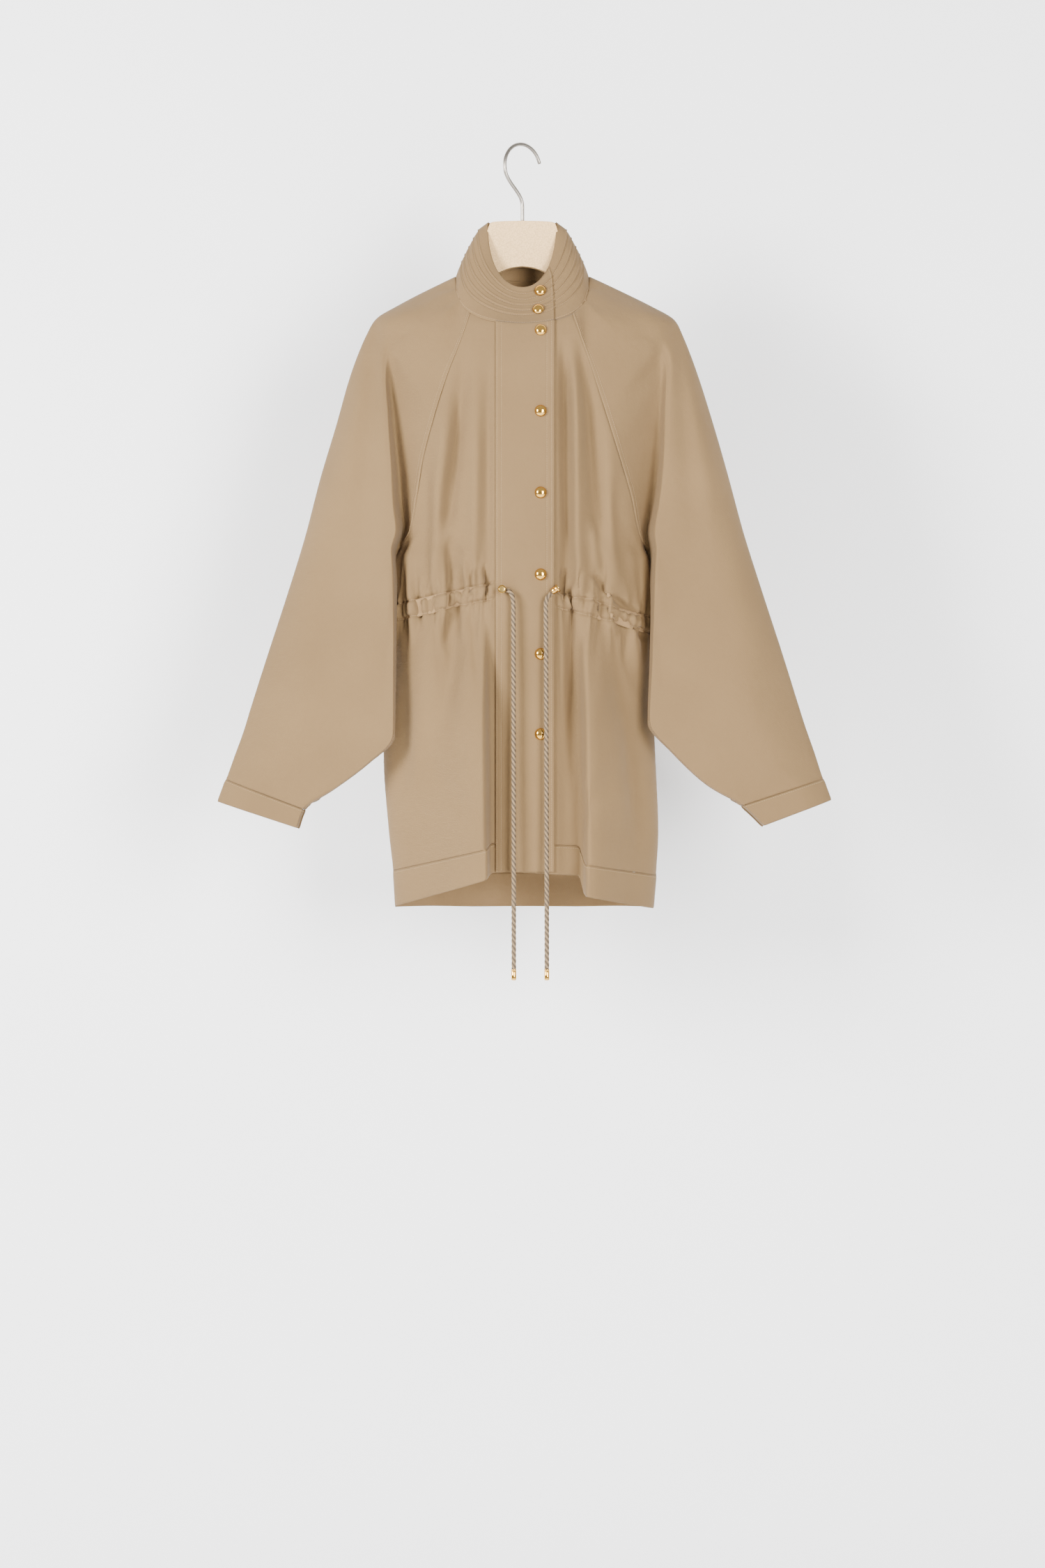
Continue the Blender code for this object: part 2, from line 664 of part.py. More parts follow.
def add_casing(collection, name, panel, levels, outside):
    """A strip along the waist, inside the panel."""
    waist = int(np.argmin(np.abs(levels - LEVEL_WAIST)))
    near = panel[waist - 1 : waist + 2]
    strip = near.copy()
    for row, neighbour in ((0, 1), (2, 1)):
        along = near[row] - near[neighbour]
        size = np.linalg.norm(along, axis=-1, keepdims=True)
        strip[row] = near[neighbour] + along / size * CASING_HEIGHT / 2
    inside = moved_out(strip, -(WALL + CASING_GAP), outside)
    inside = inset(inside, CASING_INSET, CASING_INSET, 0, 0)
    cloth(collection, name, inside, outside, CASING_WALL)


def add_placket(collection):
    """The strip over both front edges, from the collar to the hem."""
    levels = np.concatenate([body_levels(), grid_levels(1, 1.15, BAND_ROWS)[1:]])
    x, level = np.meshgrid(np.linspace(PLACKET_LEFT_X, PLACKET_RIGHT_X, PLACKET_COLUMNS + 1), levels)
    z = LEVELS.at("centre", level)
    z = z + (1 - ease(0, 0.1, level)) * (neck_z(np.abs(x)) - neck_z(0.0)) - NECK_INSET
    left = front_y(np.abs(x), z, "left")
    right = front_y(np.abs(x), z, "right")
    y = np.where(x < 0, left, right)
    points = np.stack([x, y - WALL - LAYER_GAP, z], axis=-1)
    points[0, :, 2] += 0.2
    cloth(collection, "placket", points, -1)


def add_sleeves(collection):
    above = body_levels()[: ROWS_TO_UNDERARM + 1] / LEVEL_UNDERARM
    below = np.array([1.1, 1.2, 1.3, 1.4, 1.5, 1.6, 1.65, 1.7, 1.77, 1.85, 1.93, 2.0])
    places = np.concatenate([above, below])
    columns = np.array(FRONT_COLUMNS + BACK_COLUMNS, float)
    for side, outside in (("left", 1), ("right", -1)):
        points = sleeve_points(side, columns, places)
        seams = inset(points, RAGLAN_INSET, RAGLAN_INSET, NECK_INSET, BAND_INSET)
        cloth(collection, f"sleeve_{side}", seams, outside)
        points = sleeve_points(side, columns, grid_levels(2.0, 2.15, CUFF_ROWS))
        seams = inset(points, RAGLAN_INSET, RAGLAN_INSET, BAND_INSET, 0)
        cloth(collection, f"cuff_{side}", seams, outside)


# Snaps on the placket, top to bottom; the two above them are on the collar's tab
SNAP_X = 23.6
PLACKET_SNAPS_Z = (-251.0, -357.2, -463.4, -569.6, -672.9, -777.1)
COLLAR_SNAPS = ((23.6, 0.22), (20.8, 0.66))
COLLAR_SNAP_LIFT = 1.5
SNAP_STEPS = 14
SNAP_PROFILE = ((0.0, 1.0), (0.4, 0.92), (0.75, 0.64), (0.95, 0.3), (1.0, 0.05), (0.97, 0.0), (0, 0))

# Cord outlets: a short barrel with a rimmed disc at its outer end
FERRULE_PROFILE = (
    (0.0, 9.0), (3.4, 9.0), (3.8, 9.5), (5.0, 9.5), (5.2, 9.1), (5.2, 7.8), (4.2, 7.2), (4.2, 0.2), (4.0, 0.0),
    (0.0, 0.0),
)
FERRULE_LEFT_CENTRE = (-25.6, -71.2, -589.8)
FERRULE_LEFT_AXIS = (-0.12, -1.0, 0.06)
FERRULE_RIGHT_CENTRE = (38.6, -74.0, -592.2)
FERRULE_RIGHT_AXIS = (0.84, -0.16, 0.52)

# Free ends of the drawstring, from the outlet to the tip
CORD_LEFT = (
    (-20.0, -75.8, -590.3), (-16.6, -77.6, -592.4), (-13.8, -78.9, -596.8), (-12.4, -79.4, -603.0),
    (-11.8, -79.5, -612.0), (-11.6, -79.5, -760.0), (-11.4, -79.5, -920.0), (-11.3, -79.5, -1082.0),
)
CORD_RIGHT = (
    (37.3, -74.7, -594.8), (33.8, -76.7, -598.0), (31.2, -78.7, -603.2), (30.3, -79.4, -610.2),
    (30.4, -79.6, -622.0), (30.9, -79.6, -760.0), (31.4, -79.6, -920.0), (31.6, -79.6, -1082.0),
)
CORD_STEP = 13.0
TIP_GAP = 0.35
TIP_PROFILE = ((0.0, 0.0), (2.6, 0.0), (2.9, -0.5), (2.9, -13.4), (2.4, -14.2), (0.0, -14.5))

# Hanger outline: half of the head and the underside of an arm, as (x, z); the arm's upper edge
# follows the shoulder from SHOULDER_PLACES
HEAD_HALF = ((0, -99.2), (22, -99.6), (38, -100.6), (42.5, -102.2), (44.8, -107), (47.0, -117), (47.6, -128),
             (47.0, -142), (46.6, -152), (50.0, -160.5), (62.0, -167.6))
SHOULDER_PLACES = (0.02, 0.1, 0.2, 0.26, 0.29)
ARM_UNDER_RIDGE = (3.0, 7.4)
ARM_LOWER_HALF = ((165.0, -226.5), (161.0, -232.0), (154.0, -232.5), (140, -226), (88, -199), (54, -180.5),
                  (31, -167.2), (14, -161.0), (0, -159.2))


def add_hardware(collection):
    for number, z in enumerate(PLACKET_SNAPS_Z, start=3):
        above, below = (float(front_y(SNAP_X, z + step, "right")) for step in (SNAP_RADIUS, -SNAP_RADIUS))
        y = (above + below) / 2 - WALL - LAYER_GAP - SNAP_GAP
        add_snap(collection, f"snap_{number}", (SNAP_X, y, z), (0, -1, (above - below) / (2 * SNAP_RADIUS)))
    rows = shares(100)
    columns = np.linspace(0.85, 1, 121)
    collar = collar_points(columns, rows)
    normals = outward_normals(collar, -1)
    for number, (x, down) in enumerate(COLLAR_SNAPS, start=1):
        row = int(round(down * 100))
        column = int(np.argmin(np.abs(collar[row, :, 0] - x)))
        normal = normals[max(row - 9, 0) : row + 10, column].mean(axis=0)
        centre = collar[row, column] + normal * COLLAR_SNAP_LIFT
        add_snap(collection, f"snap_{number}", centre, normal)
    brass = (BRASS, 0.22, 1.0)
    turned(collection, "ferrule_left", FERRULE_PROFILE, brass, FERRULE_LEFT_CENTRE, FERRULE_LEFT_AXIS)
    turned(collection, "ferrule_right", FERRULE_PROFILE, brass, FERRULE_RIGHT_CENTRE, FERRULE_RIGHT_AXIS)
    for side, path in (("left", CORD_LEFT), ("right", CORD_RIGHT)):
        wire(collection, f"cord_{side}", cord_route(path), CORD_DIAMETER / 2, (ROPE, 0.8))
        below = (path[-1][0], path[-1][1], path[-1][2] - TIP_GAP)
        turned(collection, f"tip_{side}", TIP_PROFILE, brass, below, (0, 0, 1), 16)


def cord_route(points):
    """Points every CORD_STEP along a smooth curve through the route's own points."""
    points = np.array(points)
    along = np.concatenate([[0], np.cumsum(np.linalg.norm(np.diff(points, axis=0), axis=1))])
    places = np.linspace(0, along[-1], int(along[-1] / CORD_STEP) + 1)
    return np.stack([smooth(along, points[:, axis], places) for axis in range(3)], axis=-1).tolist()


def add_snap(collection, name, centre, axis):
    profile = [(radius * SNAP_RADIUS, height * SNAP_HEIGHT) for radius, height in SNAP_PROFILE]
    turned(collection, name, profile, (BRASS, 0.16, 1.0), centre, axis, SNAP_STEPS)


def hook_point(across, z):
    """A point of the hook from its distance in the hook's own plane."""
    turn = math.radians(HOOK_TURN_DEGREES)
    return (across * math.cos(turn), across * math.sin(turn), z)


def hook_path():
    """Tip, round the arc, an easy bend, then the stem down into the head."""
    middle_z = HOOK_WIRE_RADIUS - HOOK_ARC_RADIUS
    path = []
    for angle in np.linspace(HOOK_TIP_DEGREES, HOOK_ARC_END_DEGREES, HOOK_ARC_POINTS):
        turn = math.radians(angle)
        path.append((HOOK_ARC_RADIUS * math.cos(turn), middle_z + HOOK_ARC_RADIUS * math.sin(turn)))
    start = np.array(path[-1])
    turn = math.radians(HOOK_ARC_END_DEGREES)
    leaving = np.array([-math.sin(turn), math.cos(turn)])
    end = np.array([0.0, HOOK_BEND_END_Z])
    first = start + leaving * HOOK_BEND_REACH
    second = end + np.array([0.0, HOOK_BEND_REACH])
    for t in np.linspace(0, 1, HOOK_BEND_POINTS)[1:]:
        bend = (1 - t) ** 3 * start + 3 * (1 - t) ** 2 * t * first + 3 * (1 - t) * t * t * second + t**3 * end
        path.append(tuple(bend))
    path.append((0.0, HANGER_TOP_Z - HANGER_SOCKET_DEPTH))
    return [hook_point(across, z) for across, z in path]


HOOK_BEND_END_Z = -80.0
HOOK_BEND_REACH = 19.0


def hanger_outline():
    """The whole outline as (x, z), from the head's top round the right arm and back."""
    outline = []
    for side in ("right", "left"):
        sleeve, _, sign = SLEEVES[side]
        drop_x, drop_z = ARM_UNDER_RIDGE
        tops = [
            (float(sleeve.at("outer_x", place)) - drop_x, float(sleeve.at("outer_z", place)) - drop_z)
            for place in SHOULDER_PLACES
        ]
        half = [(sign * x, z) for x, z in (*HEAD_HALF, *tops, *ARM_LOWER_HALF)]
        outline.append(half if side == "right" else half[::-1])
    return outline[0] + outline[1][1:-1]


def add_hanger(collection, cutters):
    wire(collection, "hook", hook_path(), HOOK_WIRE_RADIUS, (STEEL, 0.3, 1.0), 2)
    curve = bpy.data.curves.new("hanger_outline", "CURVE")
    curve.dimensions = "2D"
    curve.fill_mode = "BOTH"
    curve.extrude = HANGER_HALF_THICKNESS * MM
    outline = hanger_outline()
    spline = curve.splines.new("POLY")
    spline.points.add(len(outline) - 1)
    for point, (x, z) in zip(spline.points, outline):
        point.co = (x * MM, z * MM, 0, 1)
    spline.use_cyclic_u = True
    flat = bpy.data.objects.new("hanger_flat", curve)
    cutters.objects.link(flat)
    bpy.context.view_layer.update()
    graph = bpy.context.evaluated_depsgraph_get()
    mesh = bpy.data.meshes.new_from_object(flat.evaluated_get(graph))
    bpy.data.objects.remove(flat)
    shaped = bmesh.new()
    shaped.from_mesh(mesh)
    bmesh.ops.remove_doubles(shaped, verts=shaped.verts, dist=0.00001)
    shaped.transform(Matrix.Rotation(math.pi / 2, 4, "X"))
    bmesh.ops.recalc_face_normals(shaped, faces=shaped.faces)
    shaped.to_mesh(mesh)
    shaped.free()
    hanger = place_in(collection, "hanger", mesh, (HEAD, 0.75))
    rounded = hanger.modifiers.new("rounded", "BEVEL")
    rounded.width = HANGER_EDGE_ROUND * MM
    rounded.segments = 2
    rounded.angle_limit = math.radians(60)
    socket_radius = HOOK_WIRE_RADIUS + HANGER_SOCKET_GAP
    bpy.ops.mesh.primitive_cylinder_add(
        radius=socket_radius * MM,
        depth=2 * (HANGER_SOCKET_DEPTH + HANGER_SOCKET_GAP) * MM,
        location=(0, 0, HANGER_TOP_Z * MM),
    )
    cutter = bpy.context.object
    cutter.name = "hook_socket"
    cutter.hide_render = True
    cutter.display_type = "WIRE"
    for linked in cutter.users_collection:
        linked.objects.unlink(cutter)
    cutters.objects.link(cutter)
    cut = hanger.modifiers.new("socket", "BOOLEAN")
    cut.operation = "DIFFERENCE"
    cut.object = cutter


def main():
    for old in list(bpy.data.objects):
        bpy.data.objects.remove(old)
    collection = bpy.data.collections.new("parka_on_hanger")
    cutters = bpy.data.collections.new("cutters")
    bpy.context.scene.collection.children.link(collection)
    bpy.context.scene.collection.children.link(cutters)
    add_body(collection)
    add_placket(collection)
    add_sleeves(collection)
    cloth(collection, "collar", collar_points(shares(COLLAR_COLUMNS), shares(COLLAR_ROWS)), -1)
    add_hardware(collection)
    add_hanger(collection, cutters)


if __name__ == "__main__":
    main()
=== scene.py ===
"""A hip-length cotton parka that hangs closed on a hanger, dressed over its CAD frame.

Lengths in the tables are millimetres and MM turns them into metres where meshes are made. +Z is
up, +X is to the right of someone who faces the front, and -Y is toward them. The origin is the
underside of the hook's top.

Each cloth piece is a fine grid of points on its outer face. A grid's columns run across the piece
and its rows run down it, from level 0 at the neck through LEVEL_UNDERARM and LEVEL_WAIST to level
1 at the top of the hem band. The large forms come from the tables; creases, gathers, seam edges
and tucks are raised over them, and stitches are laid along the seams.
"""

import logging
import math
from dataclasses import dataclass, field
from enum import Enum
from functools import partial
from typing import NamedTuple, Sequence

import bmesh
import bpy
import numpy as np
from mathutils import Matrix, Vector

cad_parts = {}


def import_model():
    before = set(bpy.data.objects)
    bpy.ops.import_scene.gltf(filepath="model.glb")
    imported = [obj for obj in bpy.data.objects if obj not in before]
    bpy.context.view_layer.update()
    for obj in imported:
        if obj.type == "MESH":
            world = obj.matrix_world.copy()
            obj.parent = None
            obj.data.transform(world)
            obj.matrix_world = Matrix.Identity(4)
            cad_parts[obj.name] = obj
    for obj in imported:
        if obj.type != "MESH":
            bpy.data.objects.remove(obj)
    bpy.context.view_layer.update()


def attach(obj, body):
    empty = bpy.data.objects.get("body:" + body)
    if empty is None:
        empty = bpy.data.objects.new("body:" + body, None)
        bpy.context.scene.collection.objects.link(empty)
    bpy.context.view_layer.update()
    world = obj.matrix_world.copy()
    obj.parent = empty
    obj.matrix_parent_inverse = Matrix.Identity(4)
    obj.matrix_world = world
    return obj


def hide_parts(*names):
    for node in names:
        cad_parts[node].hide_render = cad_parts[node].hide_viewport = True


LOG = logging.getLogger("parka")
MM = 0.001
TINY = 1e-9
Colour = tuple[float, float, float]
Point = tuple[float, float, float]

# Levels down the body
LEVEL_UNDERARM = 0.42
LEVEL_WAIST = 0.53
LEVEL_HEM = 1.15
UNDERARM_Z = -532.0

# Neckline, an egg-shaped ring: highest at the sides, lowest at the front
NECK_HALF_WIDTH = 87.5
NECK_SIDE_Z = -171.0
NECK_DROP = 70.0
NECK_DROP_POWER = 0.3

# Front edges and the placket over them
PLACKET_LEFT_X = -35.0
PLACKET_RIGHT_X = 42.0
FRONT_LEFT_START_X = 22.0
FRONT_RIGHT_START_X = -14.0

# Cloth: the wall, and the layers' distances
CLOTH_WALL = 1.5
CAD_WALL = 2.0
LAYER_GAP = 0.75
CASING_WALL = 1.0
CASING_GAP = 2.4
CASING_HEIGHT = 23.0
CASING_ROW_REACH = 10.5
SEAM_GAP = 0.12
SIDE_SEAM_GAP = 0.2


class Side(Enum):
    """A side of the garment, as seen from its front."""

    LEFT = -1
    RIGHT = 1

    @property
    def word(self) -> str:
        """The side's name in lower case, as the tables' columns and the nodes have it."""
        return self.name.lower()

    @property
    def outside(self) -> int:
        """+1 where a grid of this side has its outer face along columns x rows, else -1."""
        return -self.value


class Edge(Enum):
    """One of the four edges of a grid."""

    FIRST_COLUMN = "first column"
    LAST_COLUMN = "last column"
    TOP = "top"
    BOTTOM = "bottom"


def smooth(places: Sequence[float], values: Sequence[float], place: np.ndarray) -> np.ndarray:
    """A cubic through the values that never overshoots them.

    Args:
        places: Where the values stand, rising.
        values: The value at each place.
        place: Where to read the curve; it is held within the places.

    Returns:
        The curve's values at place.
    """
    places = np.asarray(places, float)
    values = np.asarray(values, float)
    steps = np.diff(places)
    slopes = np.diff(values) / steps
    product = slopes[:-1] * slopes[1:]
    total = np.where(product > 0, slopes[:-1] + slopes[1:], 1.0)
    inner = np.where(product > 0, 2 * product / total, 0)
    tangents = np.concatenate([slopes[:1], inner, slopes[-1:]])
    place = np.clip(place, places[0], places[-1])
    index = np.clip(np.searchsorted(places, place, side="right") - 1, 0, len(steps) - 1)
    t = (place - places[index]) / steps[index]
    start = values[index] + t * steps[index] * tangents[index] * (1 - t) ** 2
    end = -steps[index] * tangents[index + 1] * t * t * (1 - t)
    rise = (values[index + 1] - values[index]) * t * t * (3 - 2 * t)
    return start + rise + end


def ease(start: float, end: float, place: np.ndarray) -> np.ndarray:
    """0 at start, 1 at end, and level at both.

    Args:
        start: Where the rise begins.
        end: Where it ends, which may be below start.
        place: Where to read it.

    Returns:
        The share at each place, from 0 to 1.
    """
    t = np.clip((place - start) / (end - start), 0, 1)
    return t * t * (3 - 2 * t)


def bump(distance: np.ndarray, width: float | np.ndarray) -> np.ndarray:
    """A smooth hill: 1 at distance 0, and near 0 two widths away."""
    return np.exp(-((distance / width) ** 2))


def ripple(along: np.ndarray, length: float, sway: float, drift: float) -> np.ndarray:
    """An uneven wave along the cloth.

    Args:
        along: Distance along it.
        length: The mean wave's length, over a full turn.
        sway: How far the waves are pushed to and fro, in radians.
        drift: How long that to and fro is, over a full turn.

    Returns:
        The wave, from -1 to 1.
    """
    return np.sin(along / length + sway * np.sin(along / drift))


def unit(vectors: np.ndarray) -> np.ndarray:
    """The vectors at length 1."""
    return vectors / np.maximum(np.linalg.norm(vectors, axis=-1, keepdims=True), TINY)


def lengths_along(points: np.ndarray) -> np.ndarray:
    """How far each point of a line lies from its first one, along the line."""
    return np.concatenate([[0], np.cumsum(np.linalg.norm(np.diff(points, axis=0), axis=1))])


def read_line(where: np.ndarray, along: np.ndarray, values: np.ndarray) -> np.ndarray:
    """A line's points, or its normals, at some distances along it.

    Args:
        where: The distances.
        along: The distance of each of the line's points.
        values: What stands at each of them, as (n, 3).

    Returns:
        What stands at each distance, as (m, 3).
    """
    return np.stack([np.interp(where, along, values[:, axis]) for axis in range(3)], axis=-1)


def tube_rings(route: np.ndarray, across: np.ndarray, other: np.ndarray, radius: np.ndarray) -> np.ndarray:
    """Rings of points round a line.

    Args:
        route: The line, as (rings, 3).
        across: Unit vectors across it, where the first point of each ring lies.
        other: Unit vectors at right angles to both.
        radius: The radius at each point, as (rings, sides).

    Returns:
        The points as (rings, sides, 3).
    """
    turn = np.linspace(0, 2 * math.pi, radius.shape[1], endpoint=False)
    offset = across[:, None] * np.cos(turn)[None, :, None] + other[:, None] * np.sin(turn)[None, :, None]
    return route[:, None] + offset * radius[..., None]


class Table:
    """Rows of named columns, read smoothly at any place along the first column."""

    def __init__(self, names: Sequence[str], rows: Sequence[Sequence[float]]) -> None:
        """Keeps the rows in rising order of their first column.

        Args:
            names: The columns' names, the first being the place.
            rows: The table's rows.
        """
        self.names = list(names)
        self.rows = np.array(sorted(rows), float)

    def at(self, name: str, place: np.ndarray) -> np.ndarray:
        """Reads a column.

        Args:
            name: The column's name.
            place: Where to read it.

        Returns:
            The column's values at place.
        """
        return smooth(self.rows[:, 0], self.rows[:, self.names.index(name)], place)


# A fold starts and ends this far beyond its heights, and a crease tapers over these shares
FOLD_LEAD = 8.0
CREASE_START = (-0.12, 0.35)
CREASE_END = (1.12, 0.65)


class Fold(NamedTuple):
    """A long fold that hangs between two heights; height is positive outward.

    On the fronts and sleeves x is the distance from the centre plane, and on the back it is
    signed. inner and outer are the fold's reach to its two sides; it grows over fade_top and
    fades over fade_end.
    """

    x_top: float
    z_top: float
    x_end: float
    z_end: float
    height: float
    inner: float
    outer: float
    fade_top: float
    fade_end: float

    def relief(self, x: np.ndarray, z: np.ndarray) -> np.ndarray:
        """How far the fold moves the cloth outward.

        Args:
            x: Distance across.
            z: Height.

        Returns:
            The outward distance at each point.
        """
        down = np.clip((z - self.z_top) / (self.z_end - self.z_top), 0, 1)
        middle = self.x_top + (self.x_end - self.x_top) * down
        reach = np.where(x < middle, self.inner, self.outer)
        grown = ease(self.z_top + FOLD_LEAD, self.z_top - self.fade_top, z)
        left = ease(self.z_end - FOLD_LEAD, self.z_end + self.fade_end, z)
        return self.height * grown * left * bump(x - middle, reach)


class Crease(NamedTuple):
    """A short crease in any direction, from one end to the other, with a bow to one side."""

    x_start: float
    z_start: float
    x_end: float
    z_end: float
    height: float
    width: float
    bow: float = 0.0

    def relief(self, x: np.ndarray, z: np.ndarray) -> np.ndarray:
        """How far the crease moves the cloth outward.

        Args:
            x: Distance across, as for a fold.
            z: Height.

        Returns:
            The outward distance at each point.
        """
        run_x, run_z = self.x_end - self.x_start, self.z_end - self.z_start
        length = math.hypot(run_x, run_z)
        along = ((x - self.x_start) * run_x + (z - self.z_start) * run_z) / length**2
        beside = ((x - self.x_start) * run_z - (z - self.z_start) * run_x) / length
        beside = beside - self.bow * 4 * along * (1 - along)
        taper = ease(*CREASE_START, along) * ease(*CREASE_END, along)
        return self.height * taper * bump(beside, self.width)


def relief_of(shapes: Sequence[Fold | Crease], x: np.ndarray, z: np.ndarray) -> np.ndarray:
    """The joint relief of several folds or creases.

    Args:
        shapes: The folds or creases.
        x: Distance across.
        z: Height.

    Returns:
        The outward distance at each point.
    """
    total = np.zeros(np.broadcast(x, z).shape)
    for shape in shapes:
        total = total + shape.relief(x, z)
    return total


def folds(rows: Sequence[Sequence[float]]) -> tuple[Fold, ...]:
    """Rows of a table as folds."""
    return tuple(Fold(*row) for row in rows)


def creases(rows: Sequence[Sequence[float]]) -> tuple[Crease, ...]:
    """Rows of a table as creases."""
    return tuple(Crease(*row) for row in rows)


# The body's ring at each height: half widths to the two sides, depth to the front and back
BODY = Table(
    ("z", "left", "right", "front", "back"),
    (
        (-171, 87.5, 87.5, 8, 38),
        (-184, 114, 114, 20, 40),
        (-197, 140, 142, 31, 41),
        (-214, 172, 177, 43, 43),
        (-229, 195, 203, 54, 44),
        (-241, 196, 205, 60, 45),
        (-270, 196, 204, 66, 47),
        (-310, 193, 200, 69, 49),
        (-400, 184, 190, 71, 52),
        (-480, 169, 172, 71, 54),
        (-532, 162, 162, 70, 54),
        (-543, 169, 168, 70, 54),
        (-560, 171, 170, 69, 53),
        (-600, 171, 172, 68, 52),
        (-640, 171, 172, 67, 53),
        (-700, 174, 172, 66, 56),
        (-805, 184, 176, 65, 60),
        (-905, 177, 180, 64, 62),
        (-960, 171, 177, 63, 62),
        (-1010, 168, 173, 62, 62),
    ),
)

# Front raglan seams and, below the underarm, the side seams: distance from the centre plane
SEAM_FRONT = Table(
    ("z", "left", "right"),
    (
        (-216, 66, 60),
        (-225, 68, 64),
        (-273, 84, 81),
        (-307, 97, 92),
        (-363, 115, 110),
        (-420, 130.5, 128),
        (-465, 138.5, 142),
        (-509, 147.5, 152),
        (-532, 162, 162),
    ),
)
SEAM_BACK = Table(
    ("z", "left", "right"),
    (
        (-171.5, 60, 60),
        (-250, 82, 82),
        (-350, 107, 107),
        (-450, 131, 131),
        (-509, 148.5, 148.5),
        (-532, 162, 162),
    ),
)

# Height of each level at the centre front, the front seams and the back
LEVELS = Table(
    ("level", "centre", "left", "right", "back", "back_side"),
    (
        (0.00, -240.6, -224.2, -226.8, -171.2, -171.6),
        (0.42, -505.0, -532.0, -532.0, -515.0, -532.0),
        (0.53, -588.0, -618.0, -634.0, -612.0, -626.0),
        (1.00, -919.0, -956.0, -962.0, -960.0, -959.0),
        (1.15, -957.0, -1003.0, -1006.0, -1006.0, -1004.5),
    ),
)

# Long folds, as in class Fold
FRONT_FOLDS = {
    Side.LEFT: folds(
        (
            (45, -265, 44, -590, -6, 5, 8, 160, 10),
            (60, -275, 63, -590, 5.5, 8, 9, 170, 12),
            (74, -262, 98, -515, -11, 9, 11, 120, 30),
            (98, -515, 84, -610, -7, 9, 11, 25, 20),
            (101, -330, 116, -590, 9, 12, 16, 60, 30),
            (50, -612, 46, -1060, 41, 3.2, 61, 170, 10),
            (80, -600, 104, -800, -14, 11, 15, 20, 120),
            (66, -612, 56, -740, -5, 5, 6, 20, 80),
            (130, -630, 140, -860, 6, 18, 16, 50, 90),
        )
    ),
    Side.RIGHT: folds(
        (
            (54, -262, 58, -596, -12, 6, 6, 60, 12),
            (69, -290, 71, -596, 12, 5, 12, 70, 10),
            (76, -258, 98, -520, -9, 8, 9, 50, 30),
            (110, -350, 124, -600, 8, 12, 16, 60, 30),
            (53, -600, 54, -780, 6, 5, 6, 12, 90),
            (61, -596, 66, -860, -11.5, 8, 7, 20, 150),
            (80, -604, 85, -1060, 41, 3.6, 48, 160, 10),
            (111, -622, 156, -960, -10, 14, 14, 30, 120),
        )
    ),
}
BACK_FOLDS = folds(
    (
        (-96, -300, -104, -610, 7, 20, 20, 120, 20),
        (-40, -260, -46, -610, -6, 16, 16, 90, 20),
        (18, -280, 22, -610, 6, 18, 18, 100, 20),
        (78, -300, 84, -610, -6, 16, 18, 110, 20),
        (120, -380, 118, -610, 6, 14, 14, 90, 20),
        (-118, -620, -124, -1060, 14, 26, 26, 110, 10),
        (-58, -620, -66, -1060, -8, 22, 24, 90, 10),
        (4, -620, 0, -1060, 13, 28, 28, 120, 10),
        (66, -620, 74, -1060, -8, 22, 22, 100, 10),
        (122, -620, 132, -1060, 14, 26, 24, 120, 10),
    )
)

# Short creases round the drawn waist, and the soft ones above and below it, as in class Crease
FRONT_CREASES = {
    Side.LEFT: creases(
        (
            (70, -560, 72, -604, -4.6, 3.0, 2),
            (64, -556, 62, -602, 3.6, 4.6, 0),
            (84, -566, 76, -606, -3.8, 3.0, -2),
            (78, -530, 76, -578, 3.2, 6.5, 2),
            (50, -556, 46, -604, -4.0, 3.2, 1),
            (57, -560, 54, -602, 3.0, 3.6, 0),
            (100, -574, 96, -612, -3.0, 3.2, 1),
            (108, -578, 106, -616, 2.6, 4.2, 0),
            (88, -535, 58, -576, -3.2, 6.0, 4),
            (122, -586, 119, -620, -2.6, 3.4, -1),
            (138, -592, 136, -626, -2.8, 3.4, 0),
            (150, -598, 150, -632, -2.4, 3.0, 0),
            (92, -606, 99, -668, -3.2, 6.0, 0),
            (74, -604, 78, -660, 2.8, 5.0, 0),
            (112, -612, 121, -664, 2.6, 6.0, 0),
            (128, -430, 140, -590, -3.0, 9.0, 6),
            (86, -330, 112, -470, 2.4, 9.0, 0),
            (60, -880, 128, -806, -2.0, 16.0, 8),
            (150, -700, 158, -860, -2.6, 13.0, 0),
        )
    ),
    Side.RIGHT: creases(
        (
            (56, -560, 55, -606, -5.6, 3.4, 1),
            (66, -580, 71, -612, 4.0, 4.0, 0),
            (77, -560, 72, -598, -3.4, 3.8, 1),
            (88, -566, 116, -604, -4.8, 4.2, -3),
            (110, -596, 164, -628, -4.6, 4.0, -2),
            (112, -606, 160, -640, 3.2, 4.6, 0),
            (108, -608, 122, -634, -3.0, 3.6, 0),
            (138, -632, 166, -652, -3.4, 4.6, 0),
            (84, -590, 92, -622, 3.0, 4.6, 0),
            (96, -606, 100, -640, -2.8, 3.4, 0),
            (128, -610, 132, -650, -2.8, 3.6, 0),
            (90, -500, 98, -566, 2.8, 6.5, 2),
            (104, -540, 112, -590, -2.6, 5.0, 0),
            (132, -600, 150, -720, -3.0, 9.0, 4),
            (124, -440, 140, -590, -3.0, 9.0, 4),
            (70, -900, 140, -820, -2.0, 16.0, -8),
            (120, -740, 132, -900, 2.6, 12.0, 0),
        )
    ),
}
